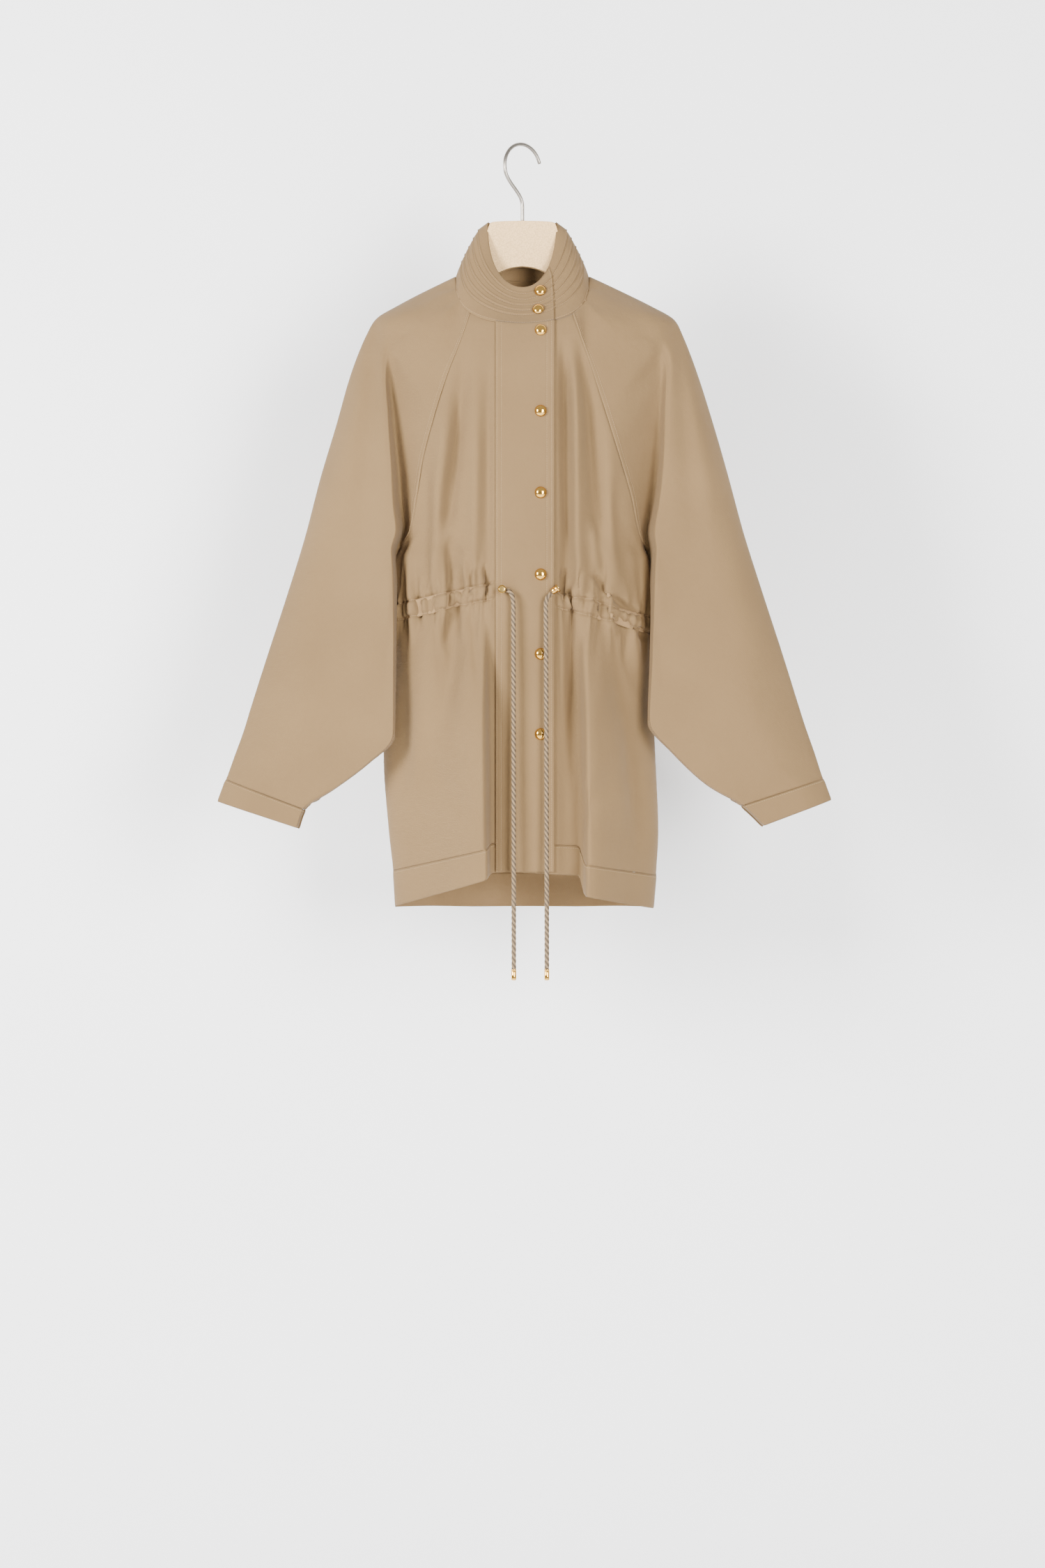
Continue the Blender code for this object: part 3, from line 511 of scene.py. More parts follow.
BACK_CREASES = creases(
    (
        (-120, -470, -96, -590, -3.0, 8.0, 4),
        (-30, -500, -18, -600, 3.0, 8.0, 0),
        (44, -490, 36, -600, -3.2, 8.0, -4),
        (108, -480, 92, -600, 3.0, 8.0, 0),
        (-84, -634, -92, -740, 3.2, 9.0, 0),
        (-24, -634, -34, -730, -3.2, 9.0, 3),
        (38, -634, 46, -750, -3.0, 9.0, 0),
        (96, -634, 104, -740, 3.2, 9.0, -3),
        (-60, -230, -90, -330, -2.2, 12.0, 6),
        (62, -230, 92, -330, -2.2, 12.0, -6),
        (-10, -880, -60, -800, -2.0, 16.0, 6),
        (20, -860, 80, -790, 2.0, 16.0, 6),
    )
)

# Sleeves. A row crosses the sleeve from its front seam, over the fold that hangs before the
# body, across the front, round the outer edge and over the back to its back seam. Place 0 is
# the neck, 1 the underarm and 2 the cuff. The two sleeves share their depths.
SLEEVE_DEPTHS = Table(
    ("place", "outer_y", "fold_y", "valley_y", "middle_y", "back_y", "back_fold_y"),
    (
        (0.00, 0, -33, -40, -22, 22, 30),
        (0.10, 0, -36, -42, -24, 24, 30),
        (0.20, 0, -38, -45, -25, 24, 30),
        (0.30, 0, -36, -47, -24, 22, 30),
        (0.40, 0, -30, -38, -16, 18, 28),
        (0.50, 0, -34, -27, -20, 18, 28),
        (0.62, -2, -44, -24, -34, 20, 30),
        (0.75, -3, -50, -19, -42, 23, 32),
        (0.87, -4, -51, -14, -46, 24, 28),
        (1.00, -6, -51, -9, -48, 20, 15),
        (1.20, -10, -54, -40, -50, 11, 0),
        (1.40, -14, -61, -50, -56, -2, -24),
        (1.60, -18, -66, -58, -58, -10, -38),
        (1.70, -20, -62, -56, -55, -12, -37),
        (1.85, -24, -54, -49, -51, -16, -33),
        (2.00, -26, -47, -42, -46, -17, -25),
        (2.15, -27, -46, -41, -45, -17, -24),
    ),
)
SLEEVE_NAMES = ("place", "outer_x", "outer_z", "fold")
SLEEVE_TABLES = {
    Side.LEFT: Table(
        SLEEVE_NAMES,
        (
            (0.00, 88, -171.5, 0.45),
            (0.10, 112, -183, 0.45),
            (0.20, 140, -197, 0.50),
            (0.30, 168, -212, 0.60),
            (0.40, 194, -228, 0.72),
            (0.50, 207, -250, 0.68),
            (0.62, 227, -300, 0.48),
            (0.75, 247, -370, 0.317),
            (0.87, 268, -440, 0.206),
            (1.00, 286, -510, 0.074),
            (1.20, 311, -592, 0.030),
            (1.40, 337, -672, 0.022),
            (1.60, 361, -748, 0.015),
            (1.70, 368, -772, 0.015),
            (1.85, 379, -804, 0.020),
            (2.00, 390, -836, 0.025),
            (2.15, 400.5, -865, 0.025),
        ),
    ),
    Side.RIGHT: Table(
        SLEEVE_NAMES,
        (
            (0.00, 88, -171.5, 0.45),
            (0.10, 113, -183, 0.45),
            (0.20, 142, -197, 0.50),
            (0.30, 172, -212, 0.60),
            (0.40, 202, -230, 0.72),
            (0.50, 213, -252, 0.74),
            (0.62, 232, -302, 0.58),
            (0.75, 255, -375, 0.40),
            (0.87, 273, -438, 0.25),
            (1.00, 291, -505, 0.10),
            (1.20, 316, -585, 0.030),
            (1.40, 342, -665, 0.022),
            (1.60, 366, -742, 0.015),
            (1.70, 374, -768, 0.015),
            (1.85, 385, -801, 0.020),
            (2.00, 395.5, -835, 0.025),
            (2.15, 405.5, -863, 0.025),
        ),
    ),
}
UNDERARM_NAMES = ("place", "x", "y", "z")
UNDERARM_TABLES = {
    Side.LEFT: Table(
        UNDERARM_NAMES,
        (
            (1.00, 163, 0, -532),
            (1.20, 164.5, -20, -600),
            (1.40, 165, -38, -690),
            (1.60, 166, -49, -780),
            (1.70, 197, -48, -813),
            (1.85, 246, -43, -850),
            (2.00, 285, -36, -876),
            (2.15, 294, -35, -900),
        ),
    ),
    Side.RIGHT: Table(
        UNDERARM_NAMES,
        (
            (1.00, 163, 0, -532),
            (1.20, 168, -20, -600),
            (1.40, 166, -38, -680),
            (1.60, 163, -49, -762),
            (1.70, 193, -48, -800),
            (1.85, 243, -43, -846),
            (2.00, 287, -36, -871),
            (2.15, 315, -35, -897),
        ),
    ),
}
SLEEVE_FOLDS_FRONT = {
    Side.LEFT: folds(
        (
            (196, -262, 214, -640, -5, 12, 14, 40, 160),
            (232, -420, 268, -760, -4, 20, 18, 80, 120),
            (120, -262, 138, -470, -4, 12, 12, 40, 70),
        )
    ),
    Side.RIGHT: folds(
        (
            (188, -262, 158, -520, -5, 9, 11, 40, 60),
            (206, -262, 232, -620, -5, 13, 14, 40, 160),
            (101, -250, 124, -400, -4, 11, 11, 30, 70),
            (246, -430, 282, -760, -4, 20, 18, 80, 120),
        )
    ),
}
SLEEVE_FOLDS_BACK = {
    Side.LEFT: folds(
        ((150, -250, 190, -700, -6, 20, 24, 60, 160), (215, -330, 262, -760, -5, 20, 22, 60, 140))
    ),
    Side.RIGHT: folds(
        ((160, -250, 186, -700, -6, 22, 22, 60, 160), (220, -340, 270, -760, -5, 22, 20, 60, 140))
    ),
}
SLEEVE_CREASES = {
    Side.LEFT: creases(
        (
            (206, -700, 300, -840, -2.2, 12.0, 8),
            (240, -640, 330, -800, 2.0, 14.0, 10),
            (176, -620, 192, -760, -2.4, 10.0, 4),
            (170, -540, 180, -660, 2.2, 9.0, 0),
            (300, -800, 366, -826, -1.6, 8.0, 3),
            (250, -846, 300, -872, 1.8, 7.0, 0),
            (150, -232, 190, -300, -1.8, 9.0, 6),
        )
    ),
    Side.RIGHT: creases(
        (
            (210, -690, 306, -836, -2.2, 12.0, 8),
            (246, -630, 336, -796, 2.0, 14.0, 10),
            (178, -610, 196, -740, -2.4, 10.0, 4),
            (172, -530, 184, -650, 2.2, 9.0, 0),
            (306, -796, 372, -822, -1.6, 8.0, 3),
            (252, -842, 302, -868, 1.8, 7.0, 0),
            (156, -236, 196, -304, -1.8, 9.0, 6),
        )
    ),
}
SLEEVE_CUFF_PLACE = 2.0
SLEEVE_END_PLACE = 2.15

# Shares of a sleeve row's width, from its seam to its outer edge
VALLEY_BEFORE_FOLD = 0.085
VALLEY_LEAST = 0.45
FOLD_ROUND = 0.05
MIDDLE_SHARE = 0.62
MIDDLE_SHIFT = 0.38
BACK_MIDDLE_SHARE = 0.40
BACK_FOLD_SHIFT = 0.03
LOWER_BACK_SHARES = (0.5, 0.96)

# Places over which a sleeve leaves the neck's curve, and the body's, for its own depths
OFF_NECK_PLACE = 0.3
FRONT_SHAPED = (0.38, 0.52)
BACK_SHAPED = (0.5, 0.9)

# Columns over which a sleeve's folds grow from its seams and fade at its outer edge
FOLD_GROWTH = (0.8, 2.6)
BACK_FOLD_END = 7.2
EDGE_FADE = 0.8
BACK_CREASE_SHIFT = 12
OUTER_COLUMN = 5
SLEEVE_LAST_COLUMN = 8

# Collar: a leaning band whose end tab lies over its other end, before the front centre
COLLAR_START_DEGREES = 78.0
COLLAR_TAB_BASE_DEGREES = 477.0
COLLAR_TAB_TOP_DEGREES = 494.0
COLLAR_TUCK_PLACES = (0.15, 0.30, 0.45, 0.59, 0.72)

# Hardware, at the places that the frame's solids have
SNAP_X = 23.6
SNAP_RADIUS = 7.7
SNAP_HEIGHT = 4.6
SNAP_GAP = 0.1
PLACKET_SNAPS_Z = (-251.0, -357.2, -463.4, -569.6, -672.9, -777.1)
COLLAR_SNAPS = ((23.6, 0.24), (20.8, 0.66))
COLLAR_SNAP_LIFT = 1.3
FERRULES = {
    Side.LEFT: ((-25.6, -71.2, -589.8), (-0.12, -1.0, 0.06)),
    Side.RIGHT: ((38.6, -74.0, -592.2), (0.84, -0.16, 0.52)),
}
CORD_DIAMETER = 6.3
CORD_ROUTES = {
    Side.LEFT: (
        (-20.0, -75.8, -590.3),
        (-16.6, -77.6, -592.4),
        (-13.8, -78.9, -596.8),
        (-12.4, -79.4, -603.0),
        (-11.8, -79.5, -612.0),
        (-11.6, -79.5, -760.0),
        (-11.4, -79.5, -920.0),
        (-11.3, -79.5, -1082.0),
    ),
    Side.RIGHT: (
        (37.3, -74.7, -594.8),
        (33.8, -76.7, -598.0),
        (31.2, -78.7, -603.2),
        (30.3, -79.4, -610.2),
        (30.4, -79.6, -622.0),
        (30.9, -79.6, -760.0),
        (31.4, -79.6, -920.0),
        (31.6, -79.6, -1082.0),
    ),
}
TIP_GAP = 0.1

# How far the skirt's front lobes hang lower than the strip between them: from x, in full at x, drop
LOBE_DROPS = {Side.LEFT: (39.0, 47.0, 2.0), Side.RIGHT: (73.0, 81.0, 12.0)}

# Hook and hanger
HOOK_WIRE_RADIUS = 2.4
HOOK_ARC_RADIUS = 30.5
HOOK_TURN_DEGREES = 40.0
HOOK_TIP_DEGREES = 15.0
HOOK_ARC_END_DEGREES = 192.0
HOOK_BEND_END_Z = -80.0
HOOK_BEND_REACH = 19.0
HANGER_TOP_Z = -99.5
HANGER_SOCKET_DEPTH = 14.0
HANGER_HALF_THICKNESS = 6.0
HANGER_HEAD_HALF = (
    (0, -99.2),
    (22, -99.6),
    (38, -100.6),
    (42.5, -102.2),
    (44.8, -107),
    (47.0, -117),
    (47.6, -128),
    (47.0, -142),
    (46.6, -152),
    (50.0, -160.5),
    (62.0, -167.6),
)
SHOULDER_PLACES = (0.02, 0.1, 0.2, 0.26, 0.29)
ARM_UNDER_RIDGE = (3.0, 7.4)
BOARD_STEP = 6.0
SAME_POINT = 0.00001
ARM_LOWER_HALF = (
    (165.0, -226.5),
    (161.0, -232.0),
    (154.0, -232.5),
    (140, -226),
    (88, -199),
    (54, -180.5),
    (31, -167.2),
    (14, -161.0),
    (0, -159.2),
)


# How square the body's ring is, and the share of its depth over which folds fade at its sides
RING_POWER = 2.2
FOLDS_FADE = 0.45

# A panel's columns: this part of each step is even, and the rest closes up toward the side
EVEN_PART = 0.45
CLOSING_PART = 0.55

# The fronts curve down to the neckline above this level, and between the lobes the hem is this level
NECK_BOW_LEVEL = 0.1
HEM_FLATNESS = 0.8


def ring_share(x: np.ndarray, z: np.ndarray, side: Side) -> np.ndarray:
    """1 at the centre plane and 0 where the body's ring turns to the other face."""
    return np.sqrt(np.clip(1 - np.abs(x / BODY.at(side.word, z)) ** RING_POWER, 0, 1))


def front_y(x: np.ndarray, z: np.ndarray, side: Side) -> np.ndarray:
    """The depth of the body's front face.

    Args:
        x: Distance from the centre plane, on that side.
        z: Height.
        side: Which half of the front.

    Returns:
        Y at each point.
    """
    share = ring_share(x, z, side)
    fading = ease(0, FOLDS_FADE, share)
    return -BODY.at("front", z) * share - relief_of(FRONT_FOLDS[side], x, z) * fading


def back_y(x: np.ndarray, z: np.ndarray) -> np.ndarray:
    """The depth of the body's back face at signed x."""
    share = np.where(x < 0, ring_share(x, z, Side.LEFT), ring_share(x, z, Side.RIGHT))
    return BODY.at("back", z) * share + relief_of(BACK_FOLDS, x, z) * ease(0, FOLDS_FADE, share)


def neck_z(x: np.ndarray) -> np.ndarray:
    """Height of the front neckline."""
    share = np.clip(1 - (x / NECK_HALF_WIDTH) ** 2, 0, 1)
    return NECK_SIDE_Z - NECK_DROP * share**NECK_DROP_POWER


def seam_x(seam: Table, side: Side, z: np.ndarray) -> np.ndarray:
    """Distance of a seam from the centre plane: the raglan, then the side of the body."""
    return np.where(z < UNDERARM_Z, BODY.at(side.word, z), seam.at(side.word, z))


def toward_side(share: np.ndarray) -> np.ndarray:
    """Shares of a panel's width, closer together toward its side."""
    return EVEN_PART * share + CLOSING_PART * np.sin(share * math.pi / 2)


def front_points(side: Side, columns: np.ndarray, levels: np.ndarray) -> np.ndarray:
    """Points of a front panel; columns run from its edge under the placket to its seam.

    Args:
        side: Which front.
        columns: Places across, from 0 to 1.
        levels: Levels down the body.

    Returns:
        Points as (levels, columns, 3).
    """
    start = FRONT_LEFT_START_X if side is Side.LEFT else FRONT_RIGHT_START_X
    c, level = np.meshgrid(columns, levels)
    seam_z = LEVELS.at(side.word, level)
    end = seam_x(SEAM_FRONT, side, seam_z)
    share = toward_side(c)
    x = start + (end - start) * share
    centre_z = LEVELS.at("centre", level)
    neck_end = seam_x(SEAM_FRONT, side, LEVELS.at(side.word, np.array(0.0)))
    first, last = neck_z(np.array(start)), neck_z(neck_end)
    bow = neck_z(np.abs(start + (neck_end - start) * share)) - first - (last - first) * share
    first_x, full_x, drop = LOBE_DROPS[side]
    lobe, low = ease(first_x, full_x, x), ease(LEVEL_WAIST, 1.0, level)
    flat = 1 - HEM_FLATNESS * (1 - lobe) * low
    z = centre_z + (seam_z - centre_z) * share * flat + (1 - ease(0, NECK_BOW_LEVEL, level)) * bow
    z = z - drop * lobe * low * (1 - share)
    return np.stack([side.value * x, front_y(x, z, side), z], axis=-1)


def back_points(columns: np.ndarray, levels: np.ndarray) -> np.ndarray:
    """Points of the back panel; columns run from its left seam to its right seam."""
    c, level = np.meshgrid(columns, levels)
    side_z = LEVELS.at("back_side", level)
    u = 2 * c - 1
    left = seam_x(SEAM_BACK, Side.LEFT, side_z)
    end = np.where(u < 0, left, seam_x(SEAM_BACK, Side.RIGHT, side_z))
    x = end * toward_side(u)
    middle_z = LEVELS.at("back", level)
    z = middle_z + (side_z - middle_z) * np.abs(u)
    return np.stack([x, back_y(x, z), z], axis=-1)


def placket_points(columns: np.ndarray, levels: np.ndarray) -> np.ndarray:
    """Points of the placket, a layer over the front panels; columns are its x."""
    x, level = np.meshgrid(columns, levels)
    z = LEVELS.at("centre", level)
    z = z + (1 - ease(0, NECK_BOW_LEVEL, level)) * (neck_z(np.abs(x)) - neck_z(np.array(0.0)))
    left = front_y(np.abs(x), z, Side.LEFT)
    right = front_y(np.abs(x), z, Side.RIGHT)
    y = np.where(x < 0, left, right)
    return np.stack([x, y - CAD_WALL - LAYER_GAP, z], axis=-1)


def sleeve_ends(side: Side, place: float) -> tuple[np.ndarray, np.ndarray, np.ndarray]:
    """Front seam, outer edge and back seam points of one row of a sleeve; x is a distance."""
    sleeve, underarm = SLEEVE_TABLES[side], UNDERARM_TABLES[side]
    outer_y = SLEEVE_DEPTHS.at("outer_y", place)
    outer = np.array([sleeve.at("outer_x", place), outer_y, sleeve.at("outer_z", place)])
    if place > 1:
        seam = np.array([underarm.at(name, place) for name in ("x", "y", "z")])
        return seam, outer, seam
    level = place * LEVEL_UNDERARM
    z = LEVELS.at(side.word, level)
    x = seam_x(SEAM_FRONT, side, z)
    front = np.array([x, front_y(x, z, side), z])
    back_z = LEVELS.at("back_side", level)
    back_x = seam_x(SEAM_BACK, side, back_z)
    return front, outer, np.array([back_x, back_y(side.value * back_x, back_z), back_z])


def sleeve_keys(side: Side, place: float) -> np.ndarray:
    """Nine points along one row of a sleeve.

    Args:
        side: Which sleeve.
        place: The row's place, from the neck to the cuff's end.

    Returns:
        Seam, valley, fold, its round, middle, outer edge, middle, fold and seam, as (9, 3).
    """
    front, outer, back = sleeve_ends(side, place)
    fold = SLEEVE_TABLES[side].at("fold", place)
    near = max(fold - VALLEY_BEFORE_FOLD, fold * VALLEY_LEAST)
    across = (near, fold, fold + FOLD_ROUND, MIDDLE_SHARE + MIDDLE_SHIFT * fold)
    names = ("valley_y", "fold_y", "fold_y", "middle_y")
    shaped = float(ease(*FRONT_SHAPED, place))
    off_neck = float(ease(0, OFF_NECK_PLACE, place))
    keys = [front]
    for share, name in zip(across, names):
        point = front + (outer - front) * share
        if place < OFF_NECK_PLACE:
            angle = math.acos(min(front[0] / NECK_HALF_WIDTH, 1)) * (1 - share)
            neck_x = NECK_HALF_WIDTH * np.cos(angle)
            on_neck = np.array([neck_x, 0, neck_z(neck_x)])
            point = on_neck + (point - on_neck) * off_neck
        body = front_y(point[0], point[2], side)
        point[1] = body + (SLEEVE_DEPTHS.at(name, place) - body) * shaped
        keys.append(point)
    keys.append(outer)
    upper_shares = (BACK_MIDDLE_SHARE, 1 - fold / 2 - BACK_FOLD_SHIFT)
    shaped = float(ease(*BACK_SHAPED, place))
    for share, name in zip(upper_shares if place < 1 else LOWER_BACK_SHARES, ("back_y", "back_fold_y")):
        point = outer + (back - outer) * share
        body = back_y(side.value * point[0], point[2])
        point[1] = body + (SLEEVE_DEPTHS.at(name, place) - body) * shaped
        keys.append(point)
    keys.append(back)
    return np.array(keys)


def sleeve_points(side: Side, columns: np.ndarray, places: np.ndarray) -> np.ndarray:
    """Points of a sleeve; columns run from its front seam (0) round to its back seam (8)."""
    rows = []
    for place in places:
        keys = sleeve_keys(side, place)
        row = [smooth(range(len(keys)), keys[:, axis], columns) for axis in range(3)]
        rows.append(np.stack(row, axis=-1))
    points = np.array(rows)
    across = np.broadcast_to(columns, points.shape[:2])
    on_front = ease(*FOLD_GROWTH, across) * (1 - ease(OUTER_COLUMN - EDGE_FADE, OUTER_COLUMN, across))
    on_back = ease(OUTER_COLUMN, OUTER_COLUMN + EDGE_FADE, across)
    on_back = on_back * (1 - ease(BACK_FOLD_END, SLEEVE_LAST_COLUMN, across))
    x, z = points[..., 0], points[..., 2]
    points[..., 1] -= relief_of(SLEEVE_FOLDS_FRONT[side], x, z) * on_front
    points[..., 1] -= relief_of(SLEEVE_CREASES[side], x, z) * on_front
    points[..., 1] += relief_of(SLEEVE_FOLDS_BACK[side], x, z) * on_back
    points[..., 1] += relief_of(SLEEVE_CREASES[side], x - BACK_CREASE_SHIFT, z) * on_back
    points[..., 0] *= side.value
    return points


# Cloth grids: how far a point goes to its neighbours' mean at a time, and how wide an edge's roll is
RELAX_SHARE = 0.6
EDGE_WIDTH = 1.3


@dataclass
class Grid:
    """A grid of points on the outer face of one cloth piece.

    Attributes:
        points: The points as (rows, columns, 3).
        outside: +1 where columns x rows faces out, else -1.
    """

    points: np.ndarray
    outside: int

    def normals(self) -> np.ndarray:
        """Unit normals that face out of the garment."""
        across = np.gradient(self.points, axis=1)
        down = np.gradient(self.points, axis=0)
        return unit(np.cross(across, down) * self.outside)

    def raised(self, relief: np.ndarray | float) -> "Grid":
        """The grid moved outward by a relief.

        Args:
            relief: The outward distance, one for all points or one each.

        Returns:
            A new grid.
        """
        distance = np.broadcast_to(relief, self.points.shape[:2])[..., None]
        return Grid(self.points + self.normals() * distance, self.outside)

    def relaxed(self, times: int) -> "Grid":
        """The grid with each inner point drawn to the mean of its neighbours, edges held.

        Args:
            times: How often that is done.

        Returns:
            A new grid.
        """
        points = self.points.copy()
        for _ in range(times):
            mean = (points[:-2, 1:-1] + points[2:, 1:-1] + points[1:-1, :-2] + points[1:-1, 2:]) / 4
            points[1:-1, 1:-1] += RELAX_SHARE * (mean - points[1:-1, 1:-1])
        return Grid(points, self.outside)

    def distance(self, edge: Edge) -> np.ndarray:
        """How far each point lies from an edge, along its row or column.

        Args:
            edge: The edge.

        Returns:
            Lengths as (rows, columns).
        """
        axis = 1 if edge in (Edge.FIRST_COLUMN, Edge.LAST_COLUMN) else 0
        steps = np.linalg.norm(np.diff(self.points, axis=axis), axis=-1)
        start = np.zeros_like(np.take(steps, [0], axis=axis))
        along = np.cumsum(np.concatenate([start, steps], axis=axis), axis=axis)
        if edge in (Edge.LAST_COLUMN, Edge.BOTTOM):
            return np.take(along, [-1], axis=axis) - along
        return along

    def rolled(self, edge: Edge, depth: float, width: float = EDGE_WIDTH) -> np.ndarray:
        """How far the cloth turns under at an edge.

        Args:
            edge: The edge.
            depth: How deep the edge itself goes.
            width: How far in the roll reaches.

        Returns:
            The outward distance at each point, negative or 0.
        """
        return -depth * bump(self.distance(edge), width)

    def inset(self, left: float, right: float, top: float, bottom: float) -> "Grid":
        """The grid with its edges drawn in.

        Args:
            left: How far the first column moves in.
            right: How far the last column moves in.
            top: How far the first row moves in.
            bottom: How far the last row moves in.

        Returns:
            A new grid.
        """
        points = self.points.copy()
        for edge, inner, length in ((0, 1, left), (-1, -2, right)):
            points[:, edge] += unit(points[:, inner] - points[:, edge]) * length
        for edge, inner, length in ((0, 1, top), (-1, -2, bottom)):
            points[edge] += unit(points[inner] - points[edge]) * length
        return Grid(points, self.outside)

    def line(self, measure: np.ndarray, value: float, axis: int) -> tuple[np.ndarray, np.ndarray]:
        """The line on the cloth where a measure has a value.

        Args:
            measure: A number for each point that only rises, or only falls, along the axis.
            value: The value that the line follows.
            axis: 1 to find it once in each row, 0 once in each column.

        Returns:
            The line's points and the cloth's normals there, each as (n, 3).
        """
        both = np.concatenate([self.points, self.normals()], axis=-1)
        if axis == 0:
            both, measure = both.transpose(1, 0, 2), measure.T
        found = []
        for row, numbers in zip(both, measure):
            if numbers[0] > numbers[-1]:
                row, numbers = row[::-1], numbers[::-1]
            if numbers[0] <= value <= numbers[-1]:
                found.append([np.interp(value, numbers, column) for column in row.T])
        found = np.array(found)
        return found[:, :3], found[:, 3:]


@dataclass(frozen=True)
class Seam:
    """How the cloth swells and sinks beside a sewn edge.

    Attributes:
        stitch: How far from the edge the topstitch runs.
        roll: How deep the edge itself turns under.
        swell: How far the cloth stands up between the edge and the topstitch.
        groove: How deep the topstitch pulls.
        pucker: How much the cloth ripples along the topstitch.
    """

    stitch: float = 6.5
    roll: float = 0.9
    swell: float = 0.35
    groove: float = 0.4
    pucker: float = 0.22

    def relief(self, away: np.ndarray, along: np.ndarray) -> np.ndarray:
        """The seam's relief.

        Args:
            away: Distance from the edge.
            along: Distance along the edge.

        Returns:
            The outward distance at each point.
        """
        puckers = ripple(along, length=2.3, sway=1.7, drift=17) * (0.6 + 0.4 * np.sin(along / 31))
        return (
            -self.roll * bump(away, EDGE_WIDTH)
            + self.swell * bump(away - self.stitch / 2, self.stitch / 3)
            - self.groove * bump(away - self.stitch, EDGE_WIDTH)
            + self.pucker * puckers * bump(away - self.stitch, self.stitch * 0.8)
        )


@dataclass(frozen=True)
class Gathers:
    """The cloth drawn together along the waist: puckers in the casing, creases out of it.

    Attributes:
        seed: Where the uneven spacing starts.
        spacing: Mean distance between creases.
        height: How far a crease stands out.
        band: Half the casing's height, where its two stitch rows run.
        ruffle: How far the small ruffles between those rows stand out.
        swell: How far the cloth stands up between the rows.
        groove: How deep the rows pull.
        sizes: A crease's height, as the least and greatest share of height.
        widths: A crease's least and greatest width.
        lean: How far a crease leans to either side, at most, as a slope.
        above: A crease's least and greatest reach above the casing.
        under: Its least and greatest reach under it.
        spread: How far from the casing a crease is twice as wide.
    """

    seed: int
    spacing: float = 8.0
    height: float = 5.0
    band: float = CASING_ROW_REACH
    ruffle: float = 0.7
    swell: float = 1.6
    groove: float = 2.3
    sizes: tuple[float, float] = (0.35, 1.15)
    widths: tuple[float, float] = (1.8, 3.6)
    lean: float = 0.22
    above: tuple[float, float] = (14, 62)
    under: tuple[float, float] = (12, 54)
    spread: float = 32

    def relief(self, along: np.ndarray, below: np.ndarray) -> np.ndarray:
        """The gathers' relief.

        Args:
            along: Distance along the waist.
            below: Distance below the waist line, negative above it.

        Returns:
            The outward distance at each point.
        """
        chance = np.random.default_rng(self.seed)
        from_waist = np.abs(below)
        outside_band = from_waist - self.band
        beyond = np.maximum(outside_band, 0)
        total = self.swell * ease(self.band, self.band - 5, from_waist)
        total = total - self.groove * bump(outside_band, 2.0)
        ruffles = ripple(along, length=0.85, sway=2.2, drift=5.3)
        ruffles = ruffles * (0.6 + 0.4 * np.sin(along / 8.1 + below / 9))
        total = total + self.ruffle * ruffles * ease(self.band + 5, self.band - 1, from_waist)
        place = float(along.min()) - self.spacing
        while place < along.max() + self.spacing:
            place += self.spacing * chance.uniform(0.5, 1.5)
            size = self.height * chance.uniform(*self.sizes) * chance.choice((-1, 1))
            width = chance.uniform(*self.widths)
            lean = chance.uniform(-self.lean, self.lean)
            up, down = chance.uniform(*self.above), chance.uniform(*self.under)
            fade = np.exp(-((beyond / np.where(below < 0, up, down)) ** 1.3))
            spread = width * (1 + beyond / self.spread)
            total = total + size * fade * bump(along - place - lean * below, spread)
        return total


def cells(length: float, cell: float) -> np.ndarray:
    """Shares from 0 to 1 with cells of about a given size along a length."""
    return np.linspace(0, 1, int(round(length / cell)) + 1)


def denser(shares: np.ndarray, places: Sequence[float], reach: float, count: int) -> np.ndarray:
    """Shares with more of them round some places.

    Args:
        shares: The rising shares to start from.
        places: Where there are more.
        reach: How far round each place.
        count: How many stand within the reach.

    Returns:
        The rising shares, within the first ones' ends.
    """
    kept = shares
    extra = []
    for place in places:
        kept = kept[np.abs(kept - place) > reach]
        extra.append(np.linspace(place - reach, place + reach, count))
    joined = np.concatenate([kept, *extra, shares[[0, -1]]])
    joined = joined[(joined >= shares[0]) & (joined <= shares[-1])]
    return np.unique(np.round(joined, 6))


